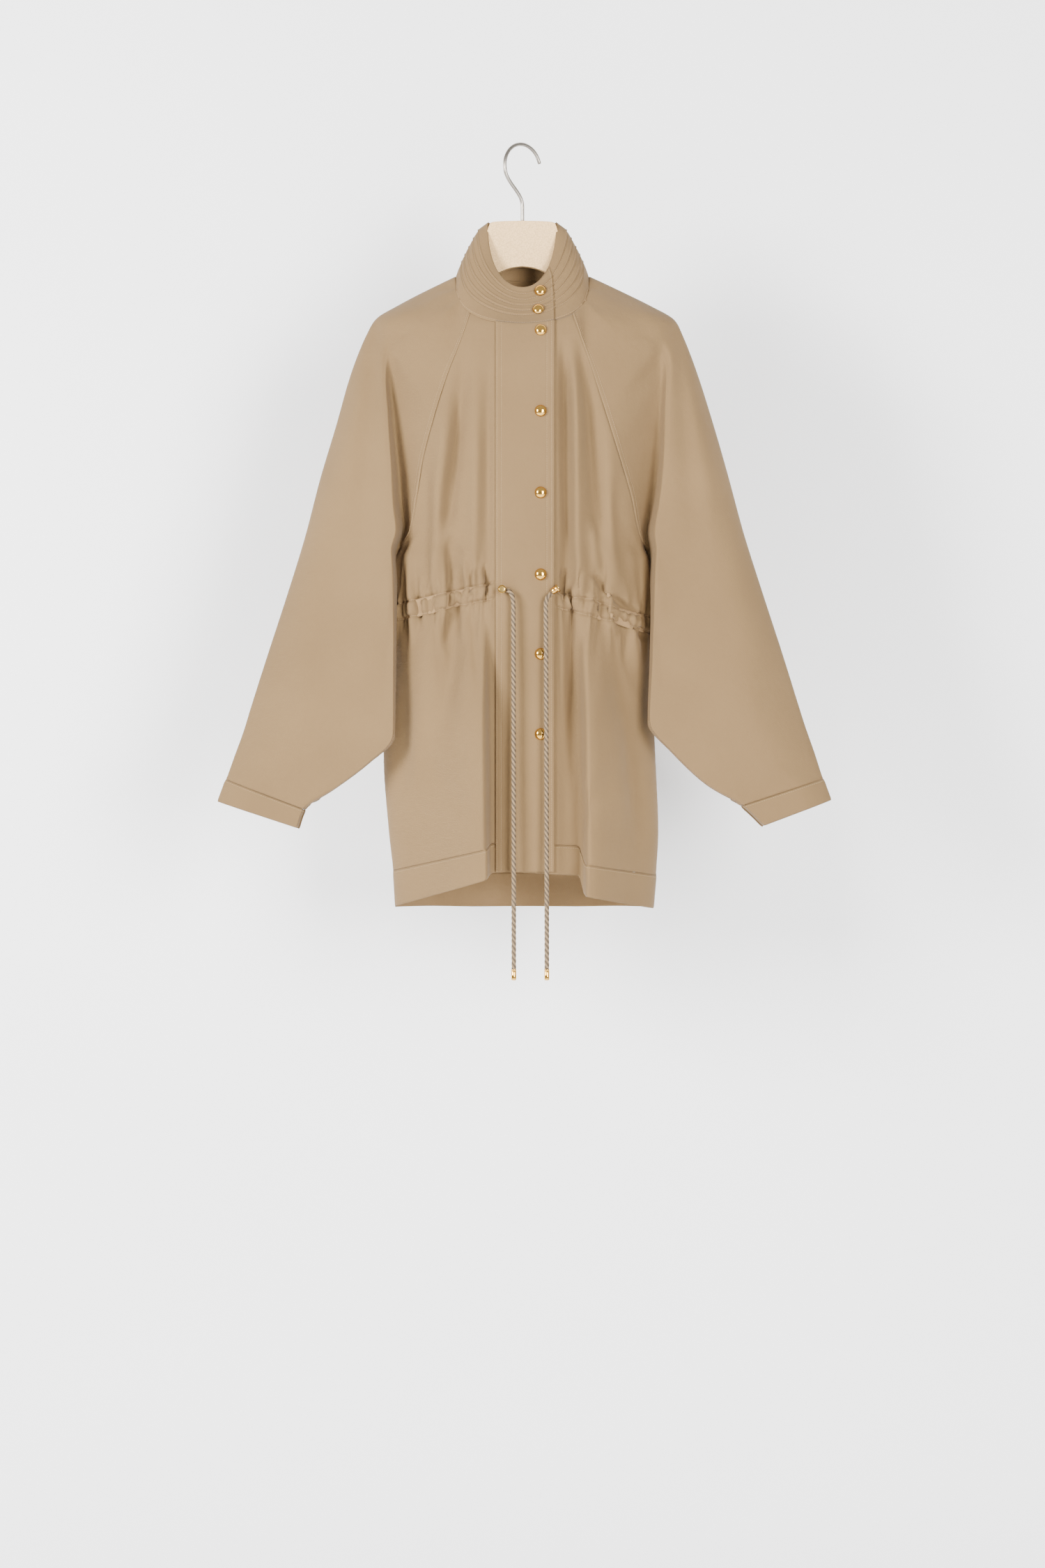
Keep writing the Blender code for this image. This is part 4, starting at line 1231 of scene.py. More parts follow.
@dataclass(frozen=True)
class Finish:
    """A plain finish: one colour with a fine grain.

    Attributes:
        name: The material's name.
        colour: Base colour.
        shade: The grain's darker colour.
        roughness: How matte it is.
        metallic: 1 for a metal.
        grain: The grain's scale, in cycles a metre.
        depth: The grain's height in metres.
    """

    name: str
    colour: Colour
    shade: Colour
    roughness: float
    metallic: float = 0.0
    grain: float = 900.0
    depth: float = 0.00002

    def start(self) -> tuple[bpy.types.Material, bpy.types.NodeTree, bpy.types.Node]:
        """A new material with its node tree and shader, the constant sockets set."""
        made = bpy.data.materials.new(self.name)
        made.use_nodes = True
        tree = made.node_tree
        shader = tree.nodes["Principled BSDF"]
        shader.inputs["Base Color"].default_value = (*self.colour, 1)
        shader.inputs["Roughness"].default_value = self.roughness
        shader.inputs["Metallic"].default_value = self.metallic
        return made, tree, shader

    def noise(self, tree: bpy.types.NodeTree, scale: float, detail: float) -> bpy.types.Node:
        """A noise texture in the object's own metres.

        Args:
            tree: The material's node tree.
            scale: Cycles a metre.
            detail: Octaves of detail.

        Returns:
            The texture node.
        """
        place = tree.nodes.new("ShaderNodeTexCoord")
        noise = tree.nodes.new("ShaderNodeTexNoise")
        noise.inputs["Scale"].default_value = scale
        noise.inputs["Detail"].default_value = detail
        tree.links.new(place.outputs["Object"], noise.inputs["Vector"])
        return noise

    def ramp(
        self, tree: bpy.types.NodeTree, source: bpy.types.NodeSocket, stops: Sequence[tuple[float, Colour]]
    ) -> bpy.types.Node:
        """A colour ramp over a value.

        Args:
            tree: The material's node tree.
            source: The value.
            stops: Each stop's place and colour, two of them.

        Returns:
            The ramp node.
        """
        ramp = tree.nodes.new("ShaderNodeValToRGB")
        for element, (place, colour) in zip(ramp.color_ramp.elements, stops):
            element.position = place
            element.color = (*colour, 1)
        tree.links.new(source, ramp.inputs["Fac"])
        return ramp

    def bumped(
        self,
        tree: bpy.types.NodeTree,
        height: bpy.types.NodeSocket,
        depth: float,
        under: bpy.types.Node | None = None,
    ) -> bpy.types.Node:
        """A bump node over a height.

        Args:
            tree: The material's node tree.
            height: The height, from 0 to 1.
            depth: What a height of 1 is, in metres.
            under: A bump node that this one adds to.

        Returns:
            The bump node.
        """
        bump_node = tree.nodes.new("ShaderNodeBump")
        bump_node.inputs["Distance"].default_value = depth
        tree.links.new(height, bump_node.inputs["Height"])
        if under is not None:
            tree.links.new(under.outputs["Normal"], bump_node.inputs["Normal"])
        return bump_node

    def material(self) -> bpy.types.Material:
        """The finish as a material."""
        made, tree, shader = self.start()
        noise = self.noise(tree, self.grain, 3)
        ramp = self.ramp(tree, noise.outputs["Fac"], ((0.36, self.shade), (0.62, self.colour)))
        tree.links.new(ramp.outputs["Color"], shader.inputs["Base Color"])
        relief = self.bumped(tree, noise.outputs["Fac"], self.depth)
        tree.links.new(relief.outputs["Normal"], shader.inputs["Normal"])
        return made


@dataclass(frozen=True)
class WovenCotton(Finish):
    """Close, matte cotton twill: a fine diagonal weave, a soft nap and faint uneven shade.

    Attributes:
        rib: Distance between the twill's ribs in metres.
        nap: The nap's sheen.
        gloss: The fibres' specular level.
        patch: The scale of the uneven shade, in cycles a metre.
        crumple: The scale of the small crumples, in cycles a metre.
        crumple_depth: Their height in metres.
    """

    rib: float = 0.0009
    nap: float = 0.04
    gloss: float = 0.22
    patch: float = 7.0
    crumple: float = 55.0
    crumple_depth: float = 0.0011

    def material(self) -> bpy.types.Material:
        """The cotton as a material."""
        made, tree, shader = self.start()
        shader.inputs["Sheen Weight"].default_value = self.nap
        shader.inputs["Sheen Roughness"].default_value = 0.55
        shader.inputs["Specular IOR Level"].default_value = self.gloss
        broad = self.noise(tree, self.patch, 2)
        fine = self.noise(tree, self.grain, 2)
        mixed = tree.nodes.new("ShaderNodeMath")
        mixed.operation = "MULTIPLY_ADD"
        mixed.inputs[1].default_value = 0.45
        tree.links.new(fine.outputs["Fac"], mixed.inputs[0])
        tree.links.new(broad.outputs["Fac"], mixed.inputs[2])
        ramp = self.ramp(tree, mixed.outputs["Value"], ((0.50, self.shade), (0.95, self.colour)))
        tree.links.new(ramp.outputs["Color"], shader.inputs["Base Color"])
        place = tree.nodes.new("ShaderNodeTexCoord")
        twill = tree.nodes.new("ShaderNodeTexWave")
        twill.wave_type = "BANDS"
        twill.bands_direction = "DIAGONAL"
        twill.inputs["Scale"].default_value = 0.314 / self.rib
        twill.inputs["Distortion"].default_value = 0.6
        tree.links.new(place.outputs["Object"], twill.inputs["Vector"])
        crumple = self.noise(tree, self.crumple, 3)
        soft = self.bumped(tree, crumple.outputs["Fac"], self.crumple_depth)
        weave = self.bumped(tree, twill.outputs["Fac"], self.depth, soft)
        tree.links.new(weave.outputs["Normal"], shader.inputs["Normal"])
        return made


WEAVE_DEPTH = 0.00009
YARN_DEPTH = 0.00008
YARN_GRAIN = 1500.0
COTTON = WovenCotton("beige_cotton", (0.155, 0.0955, 0.041), (0.136, 0.0835, 0.0352), 0.86, depth=WEAVE_DEPTH)
# A lighter copy of the cotton for the cloth's inner faces and the waist casing: painted light on the shaded
# inside of the garment.
INSIDE_COTTON_PAINTED_LIGHT = WovenCotton(
    "cotton_inside_painted_light", (0.225, 0.14, 0.064), (0.20, 0.123, 0.055), 0.88, depth=WEAVE_DEPTH
)
THREAD = Finish("sewing_thread", (0.29, 0.19, 0.092), (0.24, 0.155, 0.074), 0.7, grain=2500.0)
BRASS = Finish(
    "polished_brass", (0.70, 0.41, 0.10), (0.64, 0.37, 0.085), 0.1, metallic=1.0, grain=260.0, depth=0.000004
)
BRASS_MATTE = Finish("brass_disc", (0.44, 0.29, 0.095), (0.38, 0.25, 0.08), 0.3, metallic=1.0, grain=700.0)
# The cord's own colour on its strands, and a much darker copy painted as shade in the grooves between them.
ROPE_LIGHT = Finish(
    "rope_strand_light", (0.20, 0.132, 0.064), (0.165, 0.107, 0.05), 0.72, grain=YARN_GRAIN, depth=YARN_DEPTH
)
ROPE_GROOVE_PAINTED_SHADE = Finish(
    "rope_groove_painted_shade", (0.058, 0.037, 0.018), (0.045, 0.028, 0.013), 0.76, grain=YARN_GRAIN, depth=YARN_DEPTH
)
HEAD_BOARD = Finish(
    "pressed_board", (0.68, 0.45, 0.215), (0.53, 0.335, 0.15), 0.82, grain=620.0, depth=0.00006
)
STEEL = Finish("brushed_steel", (0.30, 0.27, 0.235), (0.25, 0.225, 0.195), 0.3, metallic=1.0, grain=520.0)
WALL_PAINT = Finish("pale_wall", (0.86, 0.86, 0.862), (0.85, 0.85, 0.853), 0.9, grain=3.0)


# Turned metal stays sharp where its faces meet at more than this
SHARP_ANGLE = math.radians(42)


class Workshop:
    """Makes meshes from points and gives them their finish and body."""

    def __init__(self) -> None:
        """Starts with no material made and no area measured."""
        self.materials: dict[str, bpy.types.Material] = {}
        self.areas: dict[str, float] = {}

    def dress(self, made: bpy.types.Object, finishes: Sequence[Finish]) -> bpy.types.Object:
        """Gives a piece its materials and body.

        Args:
            made: The piece.
            finishes: Its finishes, in the order of its faces' material numbers.

        Returns:
            The piece.
        """
        for finish in finishes:
            if finish.name not in self.materials:
                self.materials[finish.name] = finish.material()
            made.data.materials.append(self.materials[finish.name])
        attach(made, "root")
        LOG.info("made %s", made.name)
        return made

    def mesh(
        self, name: str, points: np.ndarray, faces: Sequence[Sequence[int]], numbers: np.ndarray | None = None
    ) -> bpy.types.Object:
        """A smooth mesh object from points in millimetres.

        Args:
            name: The object's name.
            points: Its points as (n, 3).
            faces: Its faces as lists of point numbers.
            numbers: Each face's material number, or None for 0.

        Returns:
            The object, linked to the scene.
        """
        mesh = bpy.data.meshes.new(name)
        mesh.from_pydata((points * MM).tolist(), [], faces)
        if numbers is not None:
            mesh.polygons.foreach_set("material_index", numbers.astype(np.int32))
        mesh.update()
        mesh.shade_smooth()
        made = bpy.data.objects.new(name, mesh)
        bpy.context.scene.collection.objects.link(made)
        return made

    def solid(
        self, name: str, points: np.ndarray, faces: Sequence[Sequence[int]], numbers: np.ndarray | None = None
    ) -> bpy.types.Object:
        """A closed mesh object whose faces are all turned outward.

        Args:
            name: The object's name.
            points: Its points as (n, 3), in millimetres.
            faces: Its faces as lists of point numbers.
            numbers: Each face's material number, or None for 0.

        Returns:
            The object, linked to the scene.
        """
        made = self.mesh(name, points, faces, numbers)
        shaped = bmesh.new()
        shaped.from_mesh(made.data)
        bmesh.ops.recalc_face_normals(shaped, faces=shaped.faces)
        shaped.to_mesh(made.data)
        shaped.free()
        return made

    def tube(self, name: str, rings: np.ndarray, dark: np.ndarray | None = None) -> bpy.types.Object:
        """A tube through rings of points, with flat ends.

        Args:
            name: The object's name.
            rings: The points as (rings, sides, 3).
            dark: Which of the faces between rings have the second finish, or None.

        Returns:
            The object, linked to the scene.
        """
        count, sides = rings.shape[:2]
        index = np.arange(count * sides).reshape(count, sides)
        after = np.roll(index, -1, axis=1)
        faces = np.stack([index[:-1], after[:-1], after[1:], index[1:]], axis=-1).reshape(-1, 4)
        ends = [index[0][::-1].tolist(), index[-1].tolist()]
        numbers = None if dark is None else np.concatenate([dark.reshape(-1), [0, 0]])
        return self.solid(name, rings.reshape(-1, 3), faces.tolist() + ends, numbers)

    def cloth(
        self, name: str, grid: Grid, node: str, wall: float = CLOTH_WALL, finish: Finish = COTTON
    ) -> bpy.types.Object:
        """A cloth wall laid inward from a grid, whose inner face is the cloth's wrong side, in a lighter copy
        of the cotton painted as light on the shaded inside.

        Args:
            name: The piece's name.
            grid: Its outer face.
            node: The CAD node that it replaces.
            wall: How thick it is.
            finish: Its outer face's finish.

        Returns:
            The piece.
        """
        rows, columns = grid.points.shape[:2]
        index = np.arange(rows * columns).reshape(rows, columns)
        corners = [index[:-1, :-1], index[:-1, 1:], index[1:, 1:], index[1:, :-1]]
        faces = np.stack(corners, axis=-1).reshape(-1, 4)
        outer = grid.points.reshape(-1, 3)
        inner = (grid.points - grid.normals() * wall).reshape(-1, 3)
        count = len(outer)
        ring = np.concatenate([index[0, :], index[1:, -1], index[-1, -2::-1], index[-2:0:-1, 0]])
        after = np.roll(ring, -1)
        rim = np.stack([ring, ring + count, after + count, after], axis=-1)
        if grid.outside < 0:
            faces, rim = faces[:, ::-1], rim[:, ::-1]
        walls = (faces, faces[:, ::-1] + count, rim)
        # Inner faces take the second finish, the lighter cotton painted as light on the shaded inside.
        numbers = np.repeat([0, 1, 0], [len(wall_faces) for wall_faces in walls])
        made = self.mesh(name, np.concatenate([outer, inner]), np.concatenate(walls).tolist(), numbers)
        corner = outer[faces]
        crossed = np.cross(corner[:, 2] - corner[:, 0], corner[:, 3] - corner[:, 1])
        self.areas[name] = float(np.linalg.norm(crossed, axis=1).sum()) / 2 * MM * MM
        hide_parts(node)
        return self.dress(made, (finish, INSIDE_COTTON_PAINTED_LIGHT))

    def turned(
        self,
        name: str,
        profile: Sequence[tuple[float, float]],
        centre: Sequence[float],
        axis: Sequence[float],
        finishes: Sequence[Finish],
        steps: int = 48,
        second: int = 0,
    ) -> bpy.types.Object:
        """A gold profile turned about an axis.

        Args:
            name: The piece's name.
            profile: Its (radius, height) points, from one pole to the other.
            centre: Where height 0 stands.
            axis: Where the heights run.
            finishes: Its finishes.
            steps: Sides round.
            second: How many rings, from the first, have the second finish.

        Returns:
            The piece.
        """
        turn = np.linspace(0, 2 * math.pi, steps, endpoint=False)
        radii = np.array([radius for radius, _ in profile])[1:-1, None]
        heights = np.array([height for _, height in profile])[1:-1, None]
        rings = np.stack([radii * np.cos(turn), radii * np.sin(turn), heights + 0 * turn], axis=-1)
        frame = np.array(Vector(axis).to_track_quat("Z", "Y").to_matrix())
        poles = np.array([[0, 0, profile[0][1]], [0, 0, profile[-1][1]]])
        points = np.concatenate([rings.reshape(-1, 3), poles]) @ frame.T + np.array(centre)
        count = len(rings)
        index = np.arange(count * steps).reshape(count, steps)
        after = np.roll(index, -1, axis=1)
        quads = np.stack([index[:-1], after[:-1], after[1:], index[1:]], axis=-1).reshape(-1, 4)
        first, last = count * steps, count * steps + 1
        caps = [(first, b, a) for a, b in zip(index[0].tolist(), after[0].tolist())]
        caps += [(last, a, b) for a, b in zip(index[-1].tolist(), after[-1].tolist())]
        ring = np.concatenate(
            [np.repeat(np.arange(count - 1), steps), np.zeros(steps), np.full(steps, count)]
        )
        made = self.solid(name, points, quads.tolist() + caps, ring < second)
        made.data.set_sharp_from_angle(angle=SHARP_ANGLE)
        return self.dress(made, finishes)


@dataclass
class Stitching:
    """Rows of machine stitches, each stitch a short thread that dips into the cloth at its ends.

    Attributes:
        name: The piece's name.
        pitch: From one stitch to the next.
        length: A stitch's length.
        radius: The thread's radius.
        rise: How far the thread's middle stands off the cloth.
        sides: Sides round the thread.
        sections: The thread's rings, as shares of its length, radius and dip.
        rows: The rows added so far, as points and normals.
    """

    name: str
    pitch: float = 3.1
    length: float = 2.5
    radius: float = 0.27
    rise: float = 0.12
    sides: int = 5
    sections: tuple[Point, ...] = ((-0.5, 0.35, -0.9), (-0.28, 1.0, 0.0), (0.28, 1.0, 0.0), (0.5, 0.35, -0.9))
    rows: list[tuple[np.ndarray, np.ndarray]] = field(default_factory=list)

    def add(self, line: tuple[np.ndarray, np.ndarray]) -> None:
        """Adds a row along a line of points with the cloth's normals."""
        self.rows.append(line)

    def places(self) -> tuple[np.ndarray, np.ndarray, np.ndarray]:
        """Middle, direction and normal of every stitch, each as (n, 3)."""
        middles, runs, ups = [], [], []
        for points, normals in self.rows:
            along = lengths_along(points)
            where = np.arange(self.pitch, along[-1] - self.pitch / 2, self.pitch)
            after = read_line(where + self.length / 2, along, points)
            before = read_line(where - self.length / 2, along, points)
            middles.append(read_line(where, along, points))
            runs.append(unit(after - before))
            ups.append(unit(read_line(where, along, normals)))
        return np.concatenate(middles), np.concatenate(runs), np.concatenate(ups)

    def build(self, shop: Workshop) -> bpy.types.Object:
        """Makes all the rows as one piece.

        Args:
            shop: What makes the mesh.

        Returns:
            The piece.
        """
        middle, run, up = self.places()
        beside = np.cross(run, up)
        turn = np.linspace(0, 2 * math.pi, self.sides, endpoint=False)
        rings = []
        for share, size, dip in self.sections:
            centre = middle + run * share * self.length + up * (self.rise + dip * self.radius)
            for angle in turn:
                side = beside * math.cos(angle) + up * math.sin(angle)
                rings.append(centre + side * self.radius * size)
        points = np.stack(rings, axis=1)
        index = np.arange(points.shape[0] * points.shape[1]).reshape(len(middle), -1, self.sides)
        after = np.roll(index, -1, axis=2)
        quads = np.stack([index[:, :-1], after[:, :-1], after[:, 1:], index[:, 1:]], axis=-1)
        ends = np.stack([index[:, 0, ::-1], index[:, -1]], axis=1)
        faces = quads.reshape(-1, 4).tolist() + ends.reshape(-1, self.sides).tolist()
        made = shop.mesh(self.name, points.reshape(-1, 3), faces)
        return shop.dress(made, (THREAD,))


# The panels' sizes over which their cells are counted, and the levels round the waist with more rows
FRONT_LENGTH = 735
BACK_LENGTH = 790
FRONT_WIDTH = 150
BACK_WIDTH = 330
PLACKET_LENGTH = 690
WAIST_REACH = 0.03
SEAM_GAPS = (SEAM_GAP, SEAM_GAP, SEAM_GAP, SEAM_GAP)


@dataclass
class Bodice:
    """The two fronts, the back, their hem bands and the casing inside the waist.

    Attributes:
        cell: The size of the cloth grid's cells.
        front_cell: Their width across the fronts.
        casing_cell: Their width across the casing.
        raglan: How the raglan and neck edges are sewn.
        side: How the side seams are sewn.
        hem_seam: How the hem bands are sewn on.
        hem_lift: How far a band's double cloth stands over the panel.
        relaxing: How often each grid is relaxed.
        crease_gain: How much deeper the creases are than drawn in their table.
        flanks: Where the steep inner flanks of the skirt's lobes lie across each front.
        waists: The gathers' seeds.
    """

    cell: float = 3.0
    front_cell: float = 2.2
    casing_cell: float = 3.5
    raglan: Seam = Seam(roll=0.8, swell=0.0, groove=0.0, pucker=0.1)
    side: Seam = Seam(stitch=5.5, roll=0.9)
    hem_seam: Seam = Seam(stitch=3.0, roll=0.8, swell=0.2, groove=0.35, pucker=0.15)
    hem_lift: float = 0.25
    relaxing: int = 4
    crease_gain: float = 1.4
    flanks: dict[Side, tuple[float, ...]] = field(
        default_factory=lambda: {
            Side.LEFT: (0.10, 0.13, 0.16, 0.19, 0.22),
            Side.RIGHT: (0.25, 0.30, 0.345, 0.375, 0.405, 0.435),
        }
    )
    waists: dict[str, float] = field(default_factory=lambda: {"left": 11, "right": 23, "back": 37})

    def levels(self) -> np.ndarray:
        """The rows from the neck to the top of the hem band, closer round the waist."""
        return denser(cells(FRONT_LENGTH, self.cell), (LEVEL_WAIST,), WAIST_REACH, 28)

    def gathered(
        self, grid: Grid, levels: np.ndarray, seed: int, clear: np.ndarray
    ) -> tuple[Grid, np.ndarray]:
        """Draws a panel together at the waist.

        Args:
            grid: The panel.
            levels: Its rows' levels.
            seed: The gathers' seed.
            clear: 0 where the cloth lies flat under another layer, else up to 1.

        Returns:
            The gathered panel, and each point's distance below the waist line.
        """
        waist = int(np.argmin(np.abs(levels - LEVEL_WAIST)))
        down = grid.distance(Edge.TOP)
        below = down - down[waist]
        along = grid.distance(Edge.FIRST_COLUMN)[waist] + 0 * below
        return grid.raised(Gathers(seed).relief(along, below) * clear), below

    def front(self, side: Side, shop: Workshop, stitches: Stitching) -> list[bpy.types.Object]:
        """Builds one front with its hem band.

        Args:
            side: Which front.
            shop: What makes the meshes.
            stitches: Where its stitch rows go.

        Returns:
            The front and its hem band.
        """
        levels = self.levels()
        columns = denser(cells(FRONT_WIDTH, self.front_cell), (*self.flanks[side], 0.96), 0.03, 7)
        grid = Grid(front_points(side, columns, levels), side.outside).relaxed(self.relaxing)
        edge = PLACKET_LEFT_X if side is Side.LEFT else PLACKET_RIGHT_X
        clear = ease(0.3, 3.5, side.value * grid.points[..., 0] - abs(edge))
        drawn = relief_of(FRONT_CREASES[side], side.value * grid.points[..., 0], grid.points[..., 2])
        grid = grid.raised(self.crease_gain * drawn * clear)
        grid, below = self.gathered(grid, levels, self.waists[side.word], clear)
        seam = grid.distance(Edge.LAST_COLUMN)
        down = grid.distance(Edge.TOP)
        is_side = ease(LEVEL_UNDERARM - 0.01, LEVEL_UNDERARM + 0.02, levels)[:, None]
        relief = self.raglan.relief(seam, down) * (1 - is_side) + self.side.relief(seam, down) * is_side
        relief = relief + grid.rolled(Edge.TOP, 0.8) + grid.rolled(Edge.BOTTOM, 0.8)
        grid = grid.raised(relief * clear)
        for value in (-CASING_ROW_REACH, CASING_ROW_REACH):
            points, normals = grid.line(below, value, 0)
            shown = side.value * points[:, 0] > abs(edge) + 1
            stitches.add((points[shown], normals[shown]))
        lower = Grid(grid.points[levels > LEVEL_WAIST + WAIST_REACH], grid.outside)
        stitches.add(lower.line(lower.distance(Edge.LAST_COLUMN), self.side.stitch, 1))
        gaps = (0, SEAM_GAP, SEAM_GAP, SEAM_GAP)
        panel = shop.cloth(f"{side.word}_front_cloth", grid.inset(*gaps), f"front_{side.word}")
        return [panel, self.hem(f"front_{side.word}", columns, side, shop, stitches)]

    def hem(
        self, name: str, columns: np.ndarray, side: Side | None, shop: Workshop, stitches: Stitching
    ) -> bpy.types.Object:
        """Builds a hem band.

        Args:
            name: The panel that it hangs from.
            columns: The panel's columns.
            side: The front's side, or None for the back.
            shop: What makes the mesh.
            stitches: Where its stitch rows go.

        Returns:
            The band.
        """
        band = np.linspace(1, LEVEL_HEM, 20)
        if side is None:
            grid = Grid(back_points(columns, band), 1)
        else:
            grid = Grid(front_points(side, columns, band), side.outside)
        seam = self.hem_seam.relief(grid.distance(Edge.TOP), grid.distance(Edge.FIRST_COLUMN))
        grid = grid.raised(seam + self.hem_lift + grid.rolled(Edge.BOTTOM, 0.7, 1.4))
        stitches.add(grid.line(grid.distance(Edge.TOP), self.hem_seam.stitch, 0))
        first = SIDE_SEAM_GAP if side is None else 0
        return shop.cloth(f"{name}_hem_band", grid.inset(first, SIDE_SEAM_GAP, SEAM_GAP, 0), f"hem_{name}")

    def back(self, shop: Workshop, stitches: Stitching) -> list[bpy.types.Object]:
        """Builds the back with its hem band.

        Args:
            shop: What makes the meshes.
            stitches: Where its stitch rows go.

        Returns:
            The back and its hem band.
        """
        levels = denser(cells(BACK_LENGTH, self.cell), (LEVEL_WAIST,), WAIST_REACH, 26)
        columns = denser(cells(BACK_WIDTH, self.cell), (0.02, 0.98), 0.018, 9)
        grid = Grid(back_points(columns, levels), 1).relaxed(self.relaxing)
        grid = grid.raised(relief_of(BACK_CREASES, grid.points[..., 0], grid.points[..., 2]))
        grid, below = self.gathered(grid, levels, self.waists["back"], np.ones(grid.points.shape[:2]))
        down = grid.distance(Edge.TOP)
        edges = (grid.distance(Edge.FIRST_COLUMN), grid.distance(Edge.LAST_COLUMN))
        relief = sum(self.raglan.relief(edge, down) for edge in edges)
        grid = grid.raised(relief + grid.rolled(Edge.TOP, 0.8) + grid.rolled(Edge.BOTTOM, 0.8))
        for value in (-CASING_ROW_REACH, CASING_ROW_REACH):
            stitches.add(grid.line(below, value, 0))
        panel = shop.cloth("back_cloth", grid.inset(*SEAM_GAPS), "back")
        return [panel, self.hem("back", columns, None, shop, stitches)]

    def casing(self, name: str, side: Side | None, shop: Workshop) -> bpy.types.Object:
        """Builds the strip inside the waist that holds the drawstring.

        Args:
            name: The CAD node that it replaces.
            side: The front's side, or None for the back.
            shop: What makes the mesh.

        Returns:
            The strip.
        """
        reach, half = 0.02, 4
        rows = np.linspace(LEVEL_WAIST - reach, LEVEL_WAIST + reach, 2 * half + 1)
        if side is None:
            grid = Grid(back_points(cells(BACK_WIDTH, self.casing_cell), rows), 1)
        else:
            grid = Grid(front_points(side, cells(FRONT_WIDTH, self.casing_cell), rows), side.outside)
        middle = grid.points[half].copy()
        for row, points in enumerate(grid.points):
            points[:] = middle + unit(points - middle) * abs(row - half) / half * CASING_HEIGHT / 2
        grid = grid.raised(-(CLOTH_WALL + CASING_GAP))
        pucker = 0.5 * ripple(grid.distance(Edge.FIRST_COLUMN), length=1.7, sway=1.3, drift=9)
        grid = grid.raised(pucker).inset(4, 4, 0, 0)
        # The strip takes the lighter cotton, painted light for the shaded inside.
        return shop.cloth(f"{name}_strip", grid, name, CASING_WALL, INSIDE_COTTON_PAINTED_LIGHT)


@dataclass
class Placket:
    """The strip over both front edges, from the collar to the hem, with two rows at each edge.

    Attributes:
        cell: The width of the cloth grid's cells.
        length: Their length.
        wall: How thick it is.
        stitches_left: The stitch rows' distances from the left edge.
        stitches_right: The stitch rows' distances from the right edge.
    """

    cell: float = 2.6
    length: float = 3.2
    wall: float = 1.7
    stitches_left: tuple[float, ...] = (1.8, 7.4)
    stitches_right: tuple[float, ...] = (4.6, 10.4)

    def build(self, shop: Workshop, stitches: Stitching) -> list[bpy.types.Object]:
        """Builds the placket.

        Args:
            shop: What makes the mesh.
            stitches: Where its stitch rows go.

        Returns:
            The placket, alone in a list.
        """
        across = PLACKET_RIGHT_X - PLACKET_LEFT_X
        shares = denser(cells(across, self.cell), (0.05, 0.12, 0.90), 0.045, 9)
        levels = np.concatenate([cells(PLACKET_LENGTH, self.length), np.linspace(1, LEVEL_HEM, 14)[1:]])
        grid = Grid(placket_points(PLACKET_LEFT_X + across * shares, levels), -1).relaxed(5)
        left, down = grid.distance(Edge.FIRST_COLUMN), grid.distance(Edge.TOP)
        rows = [(Edge.FIRST_COLUMN, value) for value in self.stitches_left]
        rows += [(Edge.LAST_COLUMN, value) for value in self.stitches_right]
        relief = grid.rolled(Edge.FIRST_COLUMN, 0.5, 1.2) + grid.rolled(Edge.LAST_COLUMN, 0.5, 1.2)
        relief = relief + grid.rolled(Edge.TOP, 0.6)
        for edge, value in rows:
            beside = grid.distance(edge) - value
            puckers = 0.12 * ripple(down, length=2.4, sway=2, drift=23) * bump(beside, 4)
            relief = relief - 0.28 * bump(beside, 1.2) + puckers
        for z in PLACKET_SNAPS_Z:
            apart = np.hypot(grid.points[..., 0] - SNAP_X, grid.points[..., 2] - z)
            relief = relief - 0.5 * bump(apart - SNAP_RADIUS, 3.0)
        relief = relief + 0.5 * bump(levels - LEVEL_WAIST, 0.02)[:, None] * np.sin(left / 6.1)
        grid = grid.raised(relief)
        for edge, value in rows:
            stitches.add(grid.line(grid.distance(edge), value, 1))
        return [shop.cloth("placket_cloth", grid.inset(0, 0, SEAM_GAP, 0), "placket", self.wall)]


